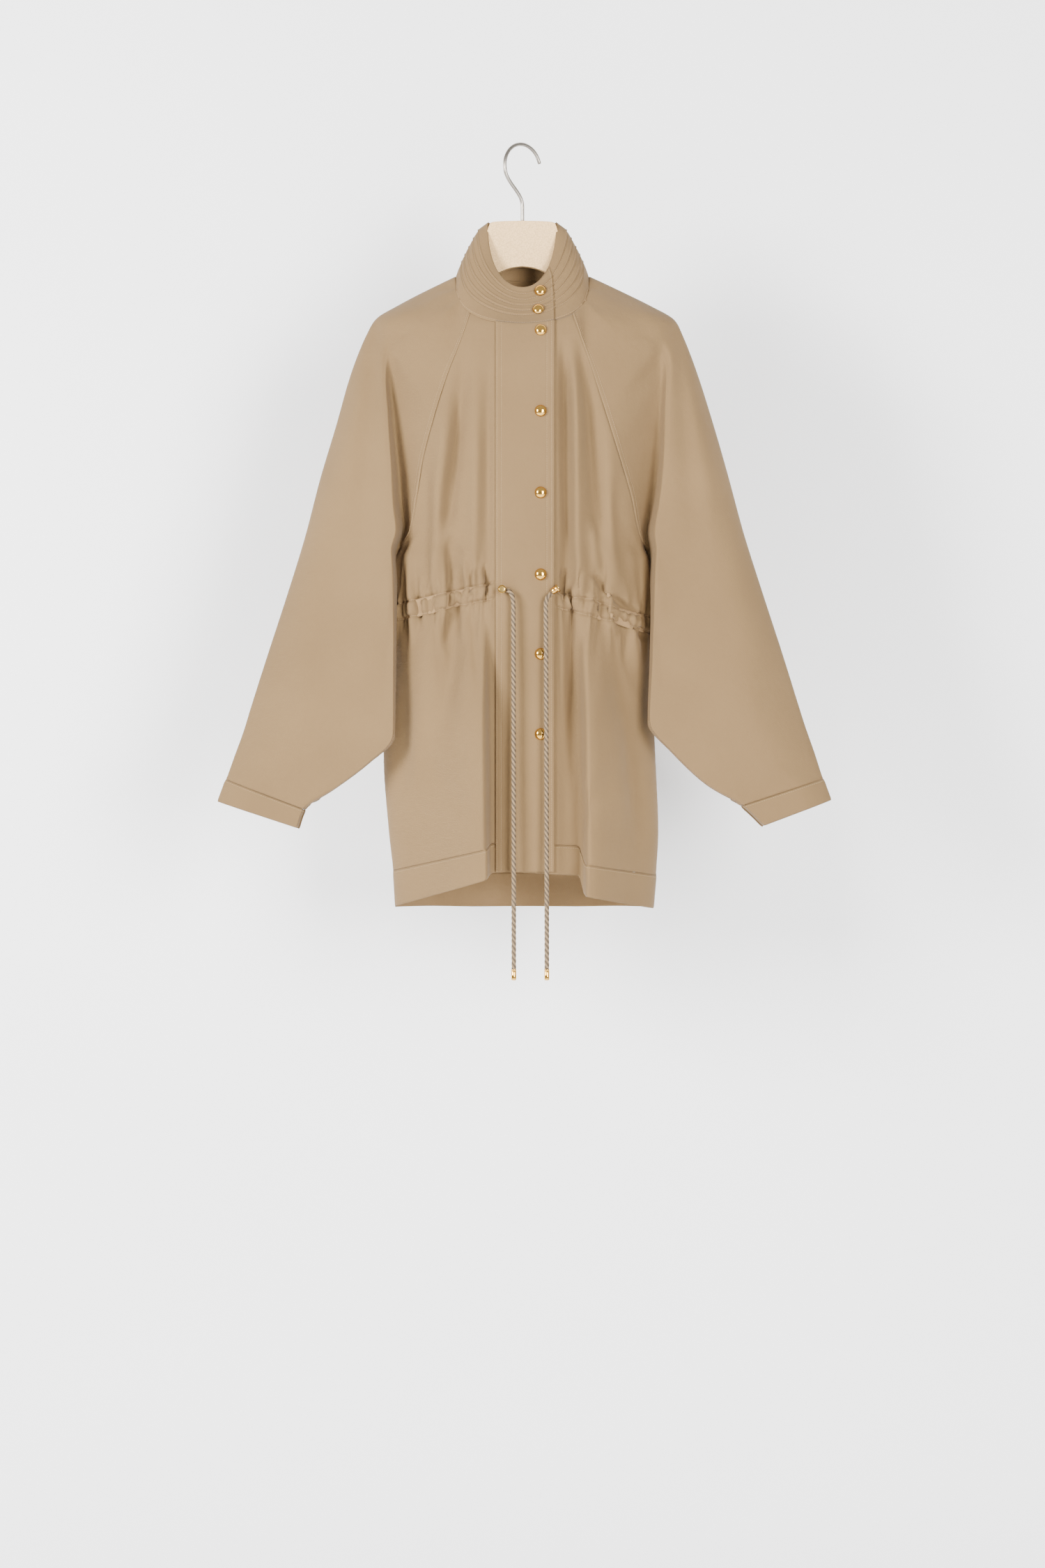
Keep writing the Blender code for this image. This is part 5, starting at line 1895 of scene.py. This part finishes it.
@dataclass
class Sleeves:
    """The two raglan batwing sleeves and their cuff bands.

    Attributes:
        raglan_rows: The topstitch rows' distances from the raglan seam.
        underarm_row: The topstitch row's distance from the underarm seam.
        raglan: How the sleeve's raglan edge is sewn.
        cuff_seam: How the cuff is sewn on.
        cuff_lift: How far the cuff's double cloth stands over the sleeve.
        cuff_wall: How thick the cuff is.
    """

    raglan_rows: tuple[float, ...] = (1.6, 7.2)
    underarm_row: float = 9.0
    raglan: Seam = Seam(stitch=7.2, roll=0.7, swell=0.5, groove=0.45, pucker=0.25)
    cuff_seam: Seam = Seam(stitch=2.6, roll=0.9, swell=0.2, groove=0.35, pucker=0.2)
    cuff_lift: float = 0.35
    cuff_wall: float = 1.8

    def columns(self) -> np.ndarray:
        """The columns round a sleeve, closer at its seams."""
        return denser(np.linspace(0, SLEEVE_LAST_COLUMN, 94), (0.16, 7.84), 0.15, 9)

    def sleeve(self, side: Side, shop: Workshop, stitches: Stitching) -> list[bpy.types.Object]:
        """Builds a sleeve and its cuff.

        Args:
            side: Which sleeve.
            shop: What makes the meshes.
            stitches: Where its stitch rows go.

        Returns:
            The sleeve and the cuff.
        """
        places = np.concatenate([np.linspace(0, 1, 92), np.linspace(1, SLEEVE_CUFF_PLACE, 96)[1:]])
        columns = self.columns()
        grid = Grid(sleeve_points(side, columns, places), side.outside).relaxed(5)
        down = grid.distance(Edge.TOP)
        upper = ease(1.02, 0.98, places)[:, None]
        relief = grid.rolled(Edge.TOP, 0.8) + grid.rolled(Edge.BOTTOM, 0.8)
        for edge in (Edge.FIRST_COLUMN, Edge.LAST_COLUMN):
            raglan = self.raglan.relief(grid.distance(edge), down)
            relief = relief + raglan * upper + grid.rolled(edge, 0.7) * (1 - upper)
        lower = ease(1.5, 1.62, places)[:, None]
        relief = relief - 0.7 * bump(grid.distance(Edge.FIRST_COLUMN) - self.underarm_row, 1.6) * lower
        grid = grid.raised(relief)
        above = Grid(grid.points[places <= 0.985], grid.outside)
        below = Grid(grid.points[(places > 1.58) & (places < 1.97)], grid.outside)
        stitches.add(below.line(below.distance(Edge.FIRST_COLUMN), self.underarm_row, 1))
        for edge in (Edge.FIRST_COLUMN, Edge.LAST_COLUMN):
            for value in self.raglan_rows:
                stitches.add(above.line(above.distance(edge), value, 1))
        sleeve = shop.cloth(f"{side.word}_sleeve_cloth", grid.inset(*SEAM_GAPS), f"sleeve_{side.word}")
        return [sleeve, self.cuff(side, columns, shop, stitches)]

    def cuff(self, side: Side, columns: np.ndarray, shop: Workshop, stitches: Stitching) -> bpy.types.Object:
        """Builds a cuff band.

        Args:
            side: Which sleeve's.
            columns: The sleeve's columns.
            shop: What makes the mesh.
            stitches: Where its stitch rows go.

        Returns:
            The cuff.
        """
        places = np.linspace(SLEEVE_CUFF_PLACE, SLEEVE_END_PLACE, 14)
        grid = Grid(sleeve_points(side, columns, places), side.outside)
        seam = self.cuff_seam.relief(grid.distance(Edge.TOP), grid.distance(Edge.FIRST_COLUMN))
        grid = grid.raised(seam + self.cuff_lift + grid.rolled(Edge.BOTTOM, 0.7, 1.4))
        stitches.add(grid.line(grid.distance(Edge.TOP), self.cuff_seam.stitch, 0))
        gaps = (SEAM_GAP, SEAM_GAP, SEAM_GAP, 0)
        return shop.cloth(f"{side.word}_cuff_cloth", grid.inset(*gaps), f"cuff_{side.word}", self.cuff_wall)


@dataclass
class Collar:
    """The funnel collar: one leaning band with stitched tucks, its end tab over its start.

    Attributes:
        base_gap: How far its lower edge stands above the neckline.
        base_shrink: How far that edge keeps inside the neckline, as a share of its size.
        top_half_width: Half the width of its upper edge.
        top_front_y: Depth of the upper edge at the front.
        top_side_y: Depth at the sides.
        top_back_y: Depth at the back.
        top_side_z: Height at the sides.
        top_back_z: Height at the back.
        top_front_drop: How far the front is lower than the sides.
        flare: How hollow its face is at the front and back.
        swell: How full it is at the sides.
        turn_in: How far the upper edge turns in at the sides.
        overlap: How far the tab stands over the other end.
        tuck_height: How far a tuck stands up.
        tuck_width: How wide a tuck's ridge is, as a share of the band's height.
        tuck_row: How far below its ridge a tuck's stitch row runs, as such a share.
        notch: Where the tab's end is pinched, between its two snaps, as such a share.
        wall: How thick it is.
    """

    base_gap: float = -1.6
    base_shrink: float = 1.004
    top_half_width: float = 51.0
    top_front_y: float = -30.0
    top_side_y: float = 6.0
    top_back_y: float = 26.0
    top_side_z: float = -98.5
    top_back_z: float = -102.0
    top_front_drop: float = 92.0
    flare: float = 5.0
    swell: float = 3.0
    turn_in: float = 6.0
    overlap: float = 2.9
    tuck_height: float = 0.95
    tuck_width: float = 0.011
    tuck_row: float = 0.026
    notch: float = 0.55
    wall: float = 1.8

    def base(self, angle: np.ndarray) -> np.ndarray:
        """The neckline at an angle: 0 the left side, 90 the front, 180 the right, 270 the back."""
        x = -NECK_HALF_WIDTH * np.cos(np.radians(angle))
        at_front = np.sin(np.radians(angle)) > 0
        z = np.where(at_front, neck_z(x), NECK_SIDE_Z)
        left, right = front_y(np.abs(x), z, Side.LEFT), front_y(np.abs(x), z, Side.RIGHT)
        y = np.where(at_front, np.where(x < 0, left, right), back_y(x, np.array(NECK_SIDE_Z)))
        return np.stack([x * self.base_shrink, y * self.base_shrink, z + self.base_gap], axis=-1)

    def top(self, angle: np.ndarray) -> np.ndarray:
        """The collar's upper edge at the same angles."""
        turn = np.radians(angle)
        rise = np.abs(np.sin(turn))
        at_front = np.sin(turn) > 0
        reach = np.where(at_front, self.top_front_y, self.top_back_y) - self.top_side_y
        y = self.top_side_y + reach * rise ** np.where(at_front, 0.6, 1.0)
        back_z = self.top_side_z + (self.top_back_z - self.top_side_z) * rise
        z = np.where(at_front, self.top_side_z - self.top_front_drop * rise**1.1, back_z)
        return np.stack([-self.top_half_width * np.cos(turn), y, z], axis=-1)

    def points(self, columns: np.ndarray, rows: np.ndarray) -> np.ndarray:
        """Points of the collar; rows run from its upper edge (0) to the neckline (1)."""
        c, down = np.meshgrid(columns, rows)
        end = COLLAR_TAB_TOP_DEGREES + (COLLAR_TAB_BASE_DEGREES - COLLAR_TAB_TOP_DEGREES) * down
        angle = COLLAR_START_DEGREES + (end - COLLAR_START_DEGREES) * c
        base, top = self.base(angle), self.top(angle)
        points = top + (base - top) * down[..., None]
        turn = np.radians(angle)
        outward = np.stack([-np.cos(turn), -np.sin(turn), 0 * angle], axis=-1)
        at_side = np.cos(turn) ** 2
        full = self.swell * at_side - self.flare * (1 - at_side)
        lift = self.overlap * ease(340, 420, angle) - self.turn_in * at_side * ease(0.16, 0, down)
        return points + outward * (lift + full * 4 * down * (1 - down))[..., None]

    def rows(self) -> np.ndarray:
        """The rows down the collar, closer at each tuck."""
        return denser(cells(130, 2.6), COLLAR_TUCK_PLACES, 0.034, 17)

    def build(self, shop: Workshop, stitches: Stitching) -> list[bpy.types.Object]:
        """Builds the collar.

        Args:
            shop: What makes the mesh.
            stitches: Where its stitch rows go.

        Returns:
            The collar, alone in a list.
        """
        rows = self.rows()
        columns = denser(cells(470, 2.6), (0.985,), 0.014, 10)
        grid = Grid(self.points(columns, rows), -1)
        down = np.broadcast_to(rows[:, None], grid.points.shape[:2])
        relief = np.zeros(down.shape)
        for place in COLLAR_TUCK_PLACES:
            relief = relief + self.tuck_height * bump(down - place, self.tuck_width)
            relief = relief - 0.75 * bump(down - place - self.tuck_row, 0.009)
        end = grid.distance(Edge.LAST_COLUMN)
        relief = relief + grid.rolled(Edge.LAST_COLUMN, 0.5, 1.4) + grid.rolled(Edge.TOP, 0.6, 1.2)
        relief = relief + grid.rolled(Edge.BOTTOM, 0.7, 1.4)
        grid = grid.raised(relief - 1.6 * bump(down - self.notch, 0.02) * ease(26, 4, end))
        for place in COLLAR_TUCK_PLACES:
            stitches.add(grid.line(down, place + self.tuck_row, 0))
        stitches.add(grid.line(grid.distance(Edge.BOTTOM), 2.8, 0))
        stitches.add(grid.line(grid.distance(Edge.LAST_COLUMN), 2.6, 1))
        return [shop.cloth("collar_cloth", grid, "collar", self.wall)]

    def snap_seats(self) -> list[tuple[np.ndarray, np.ndarray]]:
        """Centre and axis of the two snaps on the tab."""
        seats = []
        rows, reach = 100, 9
        grid = Grid(self.points(np.linspace(0.85, 1, 121), np.linspace(0, 1, rows + 1)), -1)
        normals = grid.normals()
        for x, down in COLLAR_SNAPS:
            row = int(round(down * rows))
            column = int(np.argmin(np.abs(grid.points[row, :, 0] - x)))
            normal = normals[max(row - reach, 0) : row + reach + 1, column].mean(axis=0)
            seats.append((grid.points[row, column] + normal * COLLAR_SNAP_LIFT, normal))
        return seats


@dataclass
class Hardware:
    """The gold snaps, cord outlets and cord tips.

    Attributes:
        dome: The snap's cap, as shares of its radius and height.
        ferrule: The outlet's barrel with its rimmed disc.
        disc_rings: How many of the outlet's rings, from its end, are its matte disc.
        tip: The cord tip's profile.
    """

    dome: tuple[tuple[float, float], ...] = (
        (0.0, 1.0),
        (0.2, 0.985),
        (0.4, 0.93),
        (0.58, 0.83),
        (0.74, 0.67),
        (0.86, 0.48),
        (0.94, 0.28),
        (0.985, 0.12),
        (1.0, 0.04),
        (0.98, 0.0),
        (0.0, 0.0),
    )
    ferrule: tuple[tuple[float, float], ...] = (
        (0.0, 8.9),
        (3.3, 8.9),
        (3.55, 8.95),
        (3.7, 9.4),
        (4.0, 9.5),
        (5.0, 9.5),
        (5.2, 9.3),
        (5.2, 7.9),
        (5.0, 7.7),
        (4.3, 7.5),
        (4.0, 6.6),
        (4.0, 5.2),
        (4.5, 4.8),
        (4.5, 4.0),
        (4.0, 3.6),
        (4.0, 0.4),
        (3.7, 0.0),
        (0.0, 0.0),
    )
    disc_rings: int = 2
    tip: tuple[tuple[float, float], ...] = (
        (0.0, 0.0),
        (3.0, 0.0),
        (3.25, -0.25),
        (3.3, -0.7),
        (3.3, -2.0),
        (3.05, -2.3),
        (3.3, -2.6),
        (3.3, -13.2),
        (3.0, -14.1),
        (2.3, -14.5),
        (0.0, -14.5),
    )

    def snaps(self, collar: Collar, shop: Workshop) -> None:
        """Builds the two snaps on the collar and the six on the placket.

        Args:
            collar: The collar, which seats two of them.
            shop: What makes the meshes.
        """
        profile = [(radius * SNAP_RADIUS, height * SNAP_HEIGHT) for radius, height in self.dome]
        seats = collar.snap_seats()
        for z in PLACKET_SNAPS_Z:
            edges = z + SNAP_RADIUS * np.array([1, -1])
            above, below = front_y(np.array(SNAP_X), edges, Side.RIGHT)
            y = (above + below) / 2 - CAD_WALL - LAYER_GAP - SNAP_GAP
            seats.append(((SNAP_X, y, z), (0, -1, (above - below) / (2 * SNAP_RADIUS))))
        for number, (centre, axis) in enumerate(seats, start=1):
            made = shop.turned(f"snap_cap_{number}", profile, centre, axis, (BRASS,))
            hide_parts(f"snap_{number}")

    def ferrules(self, shop: Workshop) -> None:
        """Builds the two cord outlets."""
        finishes = (BRASS, BRASS_MATTE)
        for side, (centre, axis) in FERRULES.items():
            name = f"{side.word}_cord_outlet"
            made = shop.turned(name, self.ferrule, centre, axis, finishes, 40, self.disc_rings)
            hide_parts(f"ferrule_{side.word}")

    def tips(self, shop: Workshop) -> dict[Side, bpy.types.Object]:
        """Builds the two cord tips."""
        made = {}
        for side, route in CORD_ROUTES.items():
            x, y, z = route[-1]
            name = f"{side.word}_cord_end"
            made[side] = shop.turned(name, self.tip, (x, y, z - TIP_GAP), (0, 0, 1), (BRASS,), 32)
            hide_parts(f"tip_{side.word}")
        return made


@dataclass
class Drawstring:
    """The free ends of the twisted cord: three strands laid round each other.

    Attributes:
        strands: How many strands there are.
        lead: The length of one full turn.
        sides: Points round the cord.
        step: From one ring of points to the next.
        groove: How deep the strands' grooves are, as a share of the radius.
        shaded: How low in a groove the darker painted shade starts, as a share of a strand's height.
    """

    strands: int = 3
    lead: float = 22.2
    sides: int = 30
    step: float = 1.5
    groove: float = 0.30
    shaded: float = 0.72

    def route(self, side: Side) -> np.ndarray:
        """The cord's middle line, a point for each ring."""
        points = np.array(CORD_ROUTES[side])
        along = lengths_along(points)
        places = np.linspace(0, along[-1], int(along[-1] / self.step) + 1)
        return np.stack([smooth(along, points[:, axis], places) for axis in range(3)], axis=-1)

    def build(self, side: Side, tip: bpy.types.Object, shop: Workshop) -> bpy.types.Object:
        """Args:
            side: Which end.
            tip: The tip on it; not used.
            shop: What makes the mesh.

        Returns:
            The cord.
        """
        route = self.route(side)
        run = unit(np.gradient(route, axis=0))
        beside = unit(np.cross(run, (0.0, -1.0, 0.0)))
        along = lengths_along(route)
        turn = np.linspace(0, 2 * math.pi, self.sides, endpoint=False)
        phase = self.strands * (turn[None, :] - 2 * math.pi * along[:, None] / self.lead) / 2
        lobe = np.abs(np.cos(phase)) ** 0.8
        radius = CORD_DIAMETER / 2 * (1 - self.groove + self.groove * lobe)
        rings = tube_rings(route, beside, np.cross(beside, run), radius)
        # Faces low in the grooves take the second finish, painted shade.
        made = shop.tube(f"{side.word}_cord", rings, (lobe[:-1] + lobe[1:]) / 2 < self.shaded)
        shop.dress(made, (ROPE_LIGHT, ROPE_GROOVE_PAINTED_SHADE))
        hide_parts(f"cord_{side.word}")
        return made


@dataclass
class Hanger:
    """The hanger: a thick board with a tall head and two arms, and its steel hook.

    Attributes:
        edge_round: How far the board's edges are rounded.
        wire_sides: Sides round the hook's wire.
        tip_round: The radius of the first two rings at the hook's tip, as shares of the wire's.
    """

    edge_round: float = 5.2
    wire_sides: int = 20
    tip_round: tuple[float, float] = (0.72, 0.97)

    def hook_route(self) -> np.ndarray:
        """The wire's middle line: tip, arc, easy bend and stem."""
        middle_z = HOOK_WIRE_RADIUS - HOOK_ARC_RADIUS
        turn = np.radians(np.linspace(HOOK_TIP_DEGREES, HOOK_ARC_END_DEGREES, 60))
        arc = np.stack([HOOK_ARC_RADIUS * np.cos(turn), middle_z + HOOK_ARC_RADIUS * np.sin(turn)], axis=-1)
        start = arc[-1]
        leaving = np.array([-math.sin(turn[-1]), math.cos(turn[-1])])
        end = np.array([0.0, HOOK_BEND_END_Z])
        first, second = start + leaving * HOOK_BEND_REACH, end + np.array([0.0, HOOK_BEND_REACH])
        t = np.linspace(0, 1, 40)[1:, None]
        bend = (1 - t) ** 3 * start + 3 * (1 - t) ** 2 * t * first
        bend = bend + 3 * (1 - t) * t * t * second + t**3 * end
        stem = np.array([[0.0, HOOK_BEND_END_Z - 12], [0.0, HANGER_TOP_Z - HANGER_SOCKET_DEPTH]])
        flat = np.concatenate([arc, bend, stem])
        plane = math.radians(HOOK_TURN_DEGREES)
        return np.stack([flat[:, 0] * math.cos(plane), flat[:, 0] * math.sin(plane), flat[:, 1]], axis=-1)

    def hook(self, shop: Workshop) -> bpy.types.Object:
        """Builds the hook with a rounded tip.

        Args:
            shop: What makes the mesh.

        Returns:
            The hook.
        """
        route = self.hook_route()
        run = unit(np.gradient(route, axis=0))
        plane = math.radians(HOOK_TURN_DEGREES + 90)
        across = np.broadcast_to((math.cos(plane), math.sin(plane), 0.0), run.shape)
        radius = np.full((len(route), self.wire_sides), HOOK_WIRE_RADIUS)
        radius[:2] *= np.array(self.tip_round)[:, None]
        made = shop.tube("hook_wire", tube_rings(route, across, np.cross(run, across), radius))
        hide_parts("hook")
        return shop.dress(made, (STEEL,))

    def outline(self) -> np.ndarray:
        """The board's outline as (x, z), from the head's top round the right arm and back."""
        halves = []
        for side in (Side.RIGHT, Side.LEFT):
            sleeve = SLEEVE_TABLES[side]
            drop_x, drop_z = ARM_UNDER_RIDGE
            tops = [
                (float(sleeve.at("outer_x", place)) - drop_x, float(sleeve.at("outer_z", place)) - drop_z)
                for place in SHOULDER_PLACES
            ]
            half = np.array((*HANGER_HEAD_HALF, *tops, *ARM_LOWER_HALF), float)
            along = lengths_along(half)
            fine = np.unique(np.concatenate([along, np.arange(0, along[-1], BOARD_STEP)]))
            across, up = (smooth(along, half[:, axis], fine) for axis in range(2))
            half = np.stack([side.value * across, up], axis=-1)
            halves.append(half if side is Side.RIGHT else half[::-1])
        return np.concatenate([halves[0], halves[1][1:-1]])

    def board(self, shop: Workshop) -> bpy.types.Object:
        """Builds the board as a flat curve, thickened and rounded.

        Args:
            shop: What makes the mesh.

        Returns:
            The board.
        """
        outline = self.outline()
        curve = bpy.data.curves.new("hanger_board", "CURVE")
        curve.dimensions = "2D"
        curve.fill_mode = "BOTH"
        curve.extrude = HANGER_HALF_THICKNESS * MM
        spline = curve.splines.new("POLY")
        spline.points.add(len(outline) - 1)
        for point, (x, z) in zip(spline.points, outline):
            point.co = (x * MM, z * MM, 0, 1)
        spline.use_cyclic_u = True
        flat = bpy.data.objects.new("hanger_flat", curve)
        bpy.context.scene.collection.objects.link(flat)
        bpy.context.view_layer.update()
        graph = bpy.context.evaluated_depsgraph_get()
        mesh = bpy.data.meshes.new_from_object(flat.evaluated_get(graph))
        bpy.data.objects.remove(flat)
        shaped = bmesh.new()
        shaped.from_mesh(mesh)
        bmesh.ops.remove_doubles(shaped, verts=shaped.verts, dist=SAME_POINT)
        bmesh.ops.dissolve_limit(shaped, angle_limit=math.radians(1), verts=shaped.verts, edges=shaped.edges)
        shaped.transform(Matrix.Rotation(math.pi / 2, 4, "X"))
        bmesh.ops.recalc_face_normals(shaped, faces=shaped.faces)
        shaped.to_mesh(mesh)
        shaped.free()
        made = bpy.data.objects.new("hanger_board", mesh)
        bpy.context.scene.collection.objects.link(made)
        rounded = made.modifiers.new("rounded", "BEVEL")
        rounded.width = self.edge_round * MM
        rounded.segments = 5
        rounded.angle_limit = math.radians(60)
        rounded.use_clamp_overlap = True
        mesh.shade_smooth()
        mesh.set_sharp_from_angle(angle=math.radians(35))
        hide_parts("hanger")
        return shop.dress(made, (HEAD_BOARD,))


@dataclass
class Studio:
    """A plain pale wall that sweeps into the floor, soft lights and the camera.

    Attributes:
        wall_y: How far the wall stands behind the hanger, in metres.
        floor_z: The floor's height in metres.
        distance: The camera's distance in metres.
        frame_height: The picture's height at the hanger, in metres.
        middle_z: The camera's height in metres.
        world_strength: How bright the room is above eye level.
        world_low: The room's colour below.
        sweep: The radius of the bend from the wall to the floor, in metres.
        wall_top: The wall's upper edge in metres.
        floor_front: The floor's front edge in metres.
        half_width: Half the wall's width in metres.
        sensor: The height of the camera's sensor in millimetres.
        aim: What the lights shine at, in metres.
    """

    wall_y: float = 0.30
    floor_z: float = -1.98
    distance: float = 4.5
    frame_height: float = 2.07
    middle_z: float = -0.842
    world_strength: float = 0.75
    world_low: Colour = (0.62, 0.615, 0.61)
    sweep: float = 0.25
    wall_top: float = 2.2
    floor_front: float = -6.5
    half_width: float = 4.5
    sensor: float = 36.0
    aim: Point = (0, 0, -0.75)

    def backdrop(self, shop: Workshop) -> None:
        """Builds the wall, its sweep and the floor as one sheet, clear when seen from behind."""
        turn = np.linspace(0, math.pi / 2, 12)
        bend_y = self.wall_y - self.sweep + self.sweep * np.cos(turn)
        bend_z = self.floor_z + self.sweep - self.sweep * np.sin(turn)
        profile = [(self.wall_y, self.wall_top), *zip(bend_y, bend_z), (self.floor_front, self.floor_z)]
        sides = (-self.half_width, self.half_width)
        points = np.array([(x, y, z) for x in sides for y, z in profile]) / MM
        count = len(profile)
        faces = [(k, k + 1, count + k + 1, count + k) for k in range(count - 1)]
        made = shop.mesh("backdrop", points, faces)
        paint = WALL_PAINT.material()
        tree = paint.node_tree
        side = tree.nodes.new("ShaderNodeNewGeometry")
        clear = tree.nodes.new("ShaderNodeBsdfTransparent")
        mixed = tree.nodes.new("ShaderNodeMixShader")
        tree.links.new(side.outputs["Backfacing"], mixed.inputs["Fac"])
        tree.links.new(tree.nodes["Principled BSDF"].outputs["BSDF"], mixed.inputs[1])
        tree.links.new(clear.outputs["BSDF"], mixed.inputs[2])
        tree.links.new(mixed.outputs["Shader"], tree.nodes["Material Output"].inputs["Surface"])
        made.data.materials.append(paint)

    def light(self, name: str, place: Point, size: tuple[float, float], power: float) -> None:
        """Adds a soft area light.

        Args:
            name: The light's name.
            place: Where it stands, in metres.
            size: Its width and height in metres.
            power: Its power in watts.
        """
        data = bpy.data.lights.new(name, "AREA")
        data.shape = "RECTANGLE"
        data.size, data.size_y = size
        data.energy = power
        made = bpy.data.objects.new(name, data)
        made.location = place
        made.rotation_euler = (Vector(self.aim) - Vector(place)).to_track_quat("-Z", "Y").to_euler()
        bpy.context.scene.collection.objects.link(made)

    def lights(self) -> None:
        """Adds the room's soft light, the main light from the upper left and one from the right."""
        world = bpy.data.worlds.new("studio")
        world.use_nodes = True
        tree = world.node_tree
        place = tree.nodes.new("ShaderNodeTexCoord")
        parts = tree.nodes.new("ShaderNodeSeparateXYZ")
        ramp = tree.nodes.new("ShaderNodeValToRGB")
        ramp.color_ramp.elements[0].position = 0.0
        ramp.color_ramp.elements[0].color = (*self.world_low, 1)
        ramp.color_ramp.elements[1].position = 0.42
        ramp.color_ramp.elements[1].color = (1.0, 1.0, 1.0, 1)
        tree.links.new(place.outputs["Generated"], parts.inputs["Vector"])
        tree.links.new(parts.outputs["Z"], ramp.inputs["Fac"])
        tree.links.new(ramp.outputs["Color"], tree.nodes["Background"].inputs["Color"])
        tree.nodes["Background"].inputs["Strength"].default_value = self.world_strength
        bpy.context.scene.world = world
        self.light("main_light", (-2.4, -2.2, 0.0), (1.1, 1.3), 305)
        self.light("side_light", (1.7, -3.3, -0.3), (1.4, 2.0), 300)

    def camera(self) -> None:
        """Adds the camera, level with the middle of the picture."""
        data = bpy.data.cameras.new("camera")
        data.sensor_fit = "VERTICAL"
        data.sensor_height = self.sensor
        data.lens = self.sensor * self.distance / self.frame_height
        made = bpy.data.objects.new("camera", data)
        made.location = (0, -self.distance, self.middle_z)
        made.rotation_euler = (math.pi / 2, 0, 0)
        bpy.context.scene.collection.objects.link(made)
        bpy.context.scene.camera = made


def main() -> None:
    """Builds the parka, its hanger and the studio."""
    logging.basicConfig(level=logging.INFO, format="%(message)s")
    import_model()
    studio = Studio()
    studio.camera()
    shop = Workshop()
    hardware, drawstring = Hardware(), Drawstring()
    for side, tip in hardware.tips(shop).items():
        drawstring.build(side, tip, shop)
    hardware.ferrules(shop)
    collar, bodice, sleeves = Collar(), Bodice(), Sleeves()
    made = []
    for name, build in (
        ("left_front", partial(bodice.front, Side.LEFT)),
        ("right_front", partial(bodice.front, Side.RIGHT)),
        ("back", bodice.back),
        ("left_sleeve", partial(sleeves.sleeve, Side.LEFT)),
        ("right_sleeve", partial(sleeves.sleeve, Side.RIGHT)),
        ("placket", Placket().build),
        ("collar", collar.build),
    ):
        stitches = Stitching(f"{name}_stitches")
        made += build(shop, stitches)
        stitches.build(shop)
    for side in (None, *Side):
        made.append(bodice.casing(f"casing_{side.word if side else 'back'}", side, shop))
    hardware.snaps(collar, shop)
    hanger = Hanger()
    hanger.hook(shop)
    hanger.board(shop)
    studio.backdrop(shop)
    studio.lights()


if __name__ == "__main__":
    main()
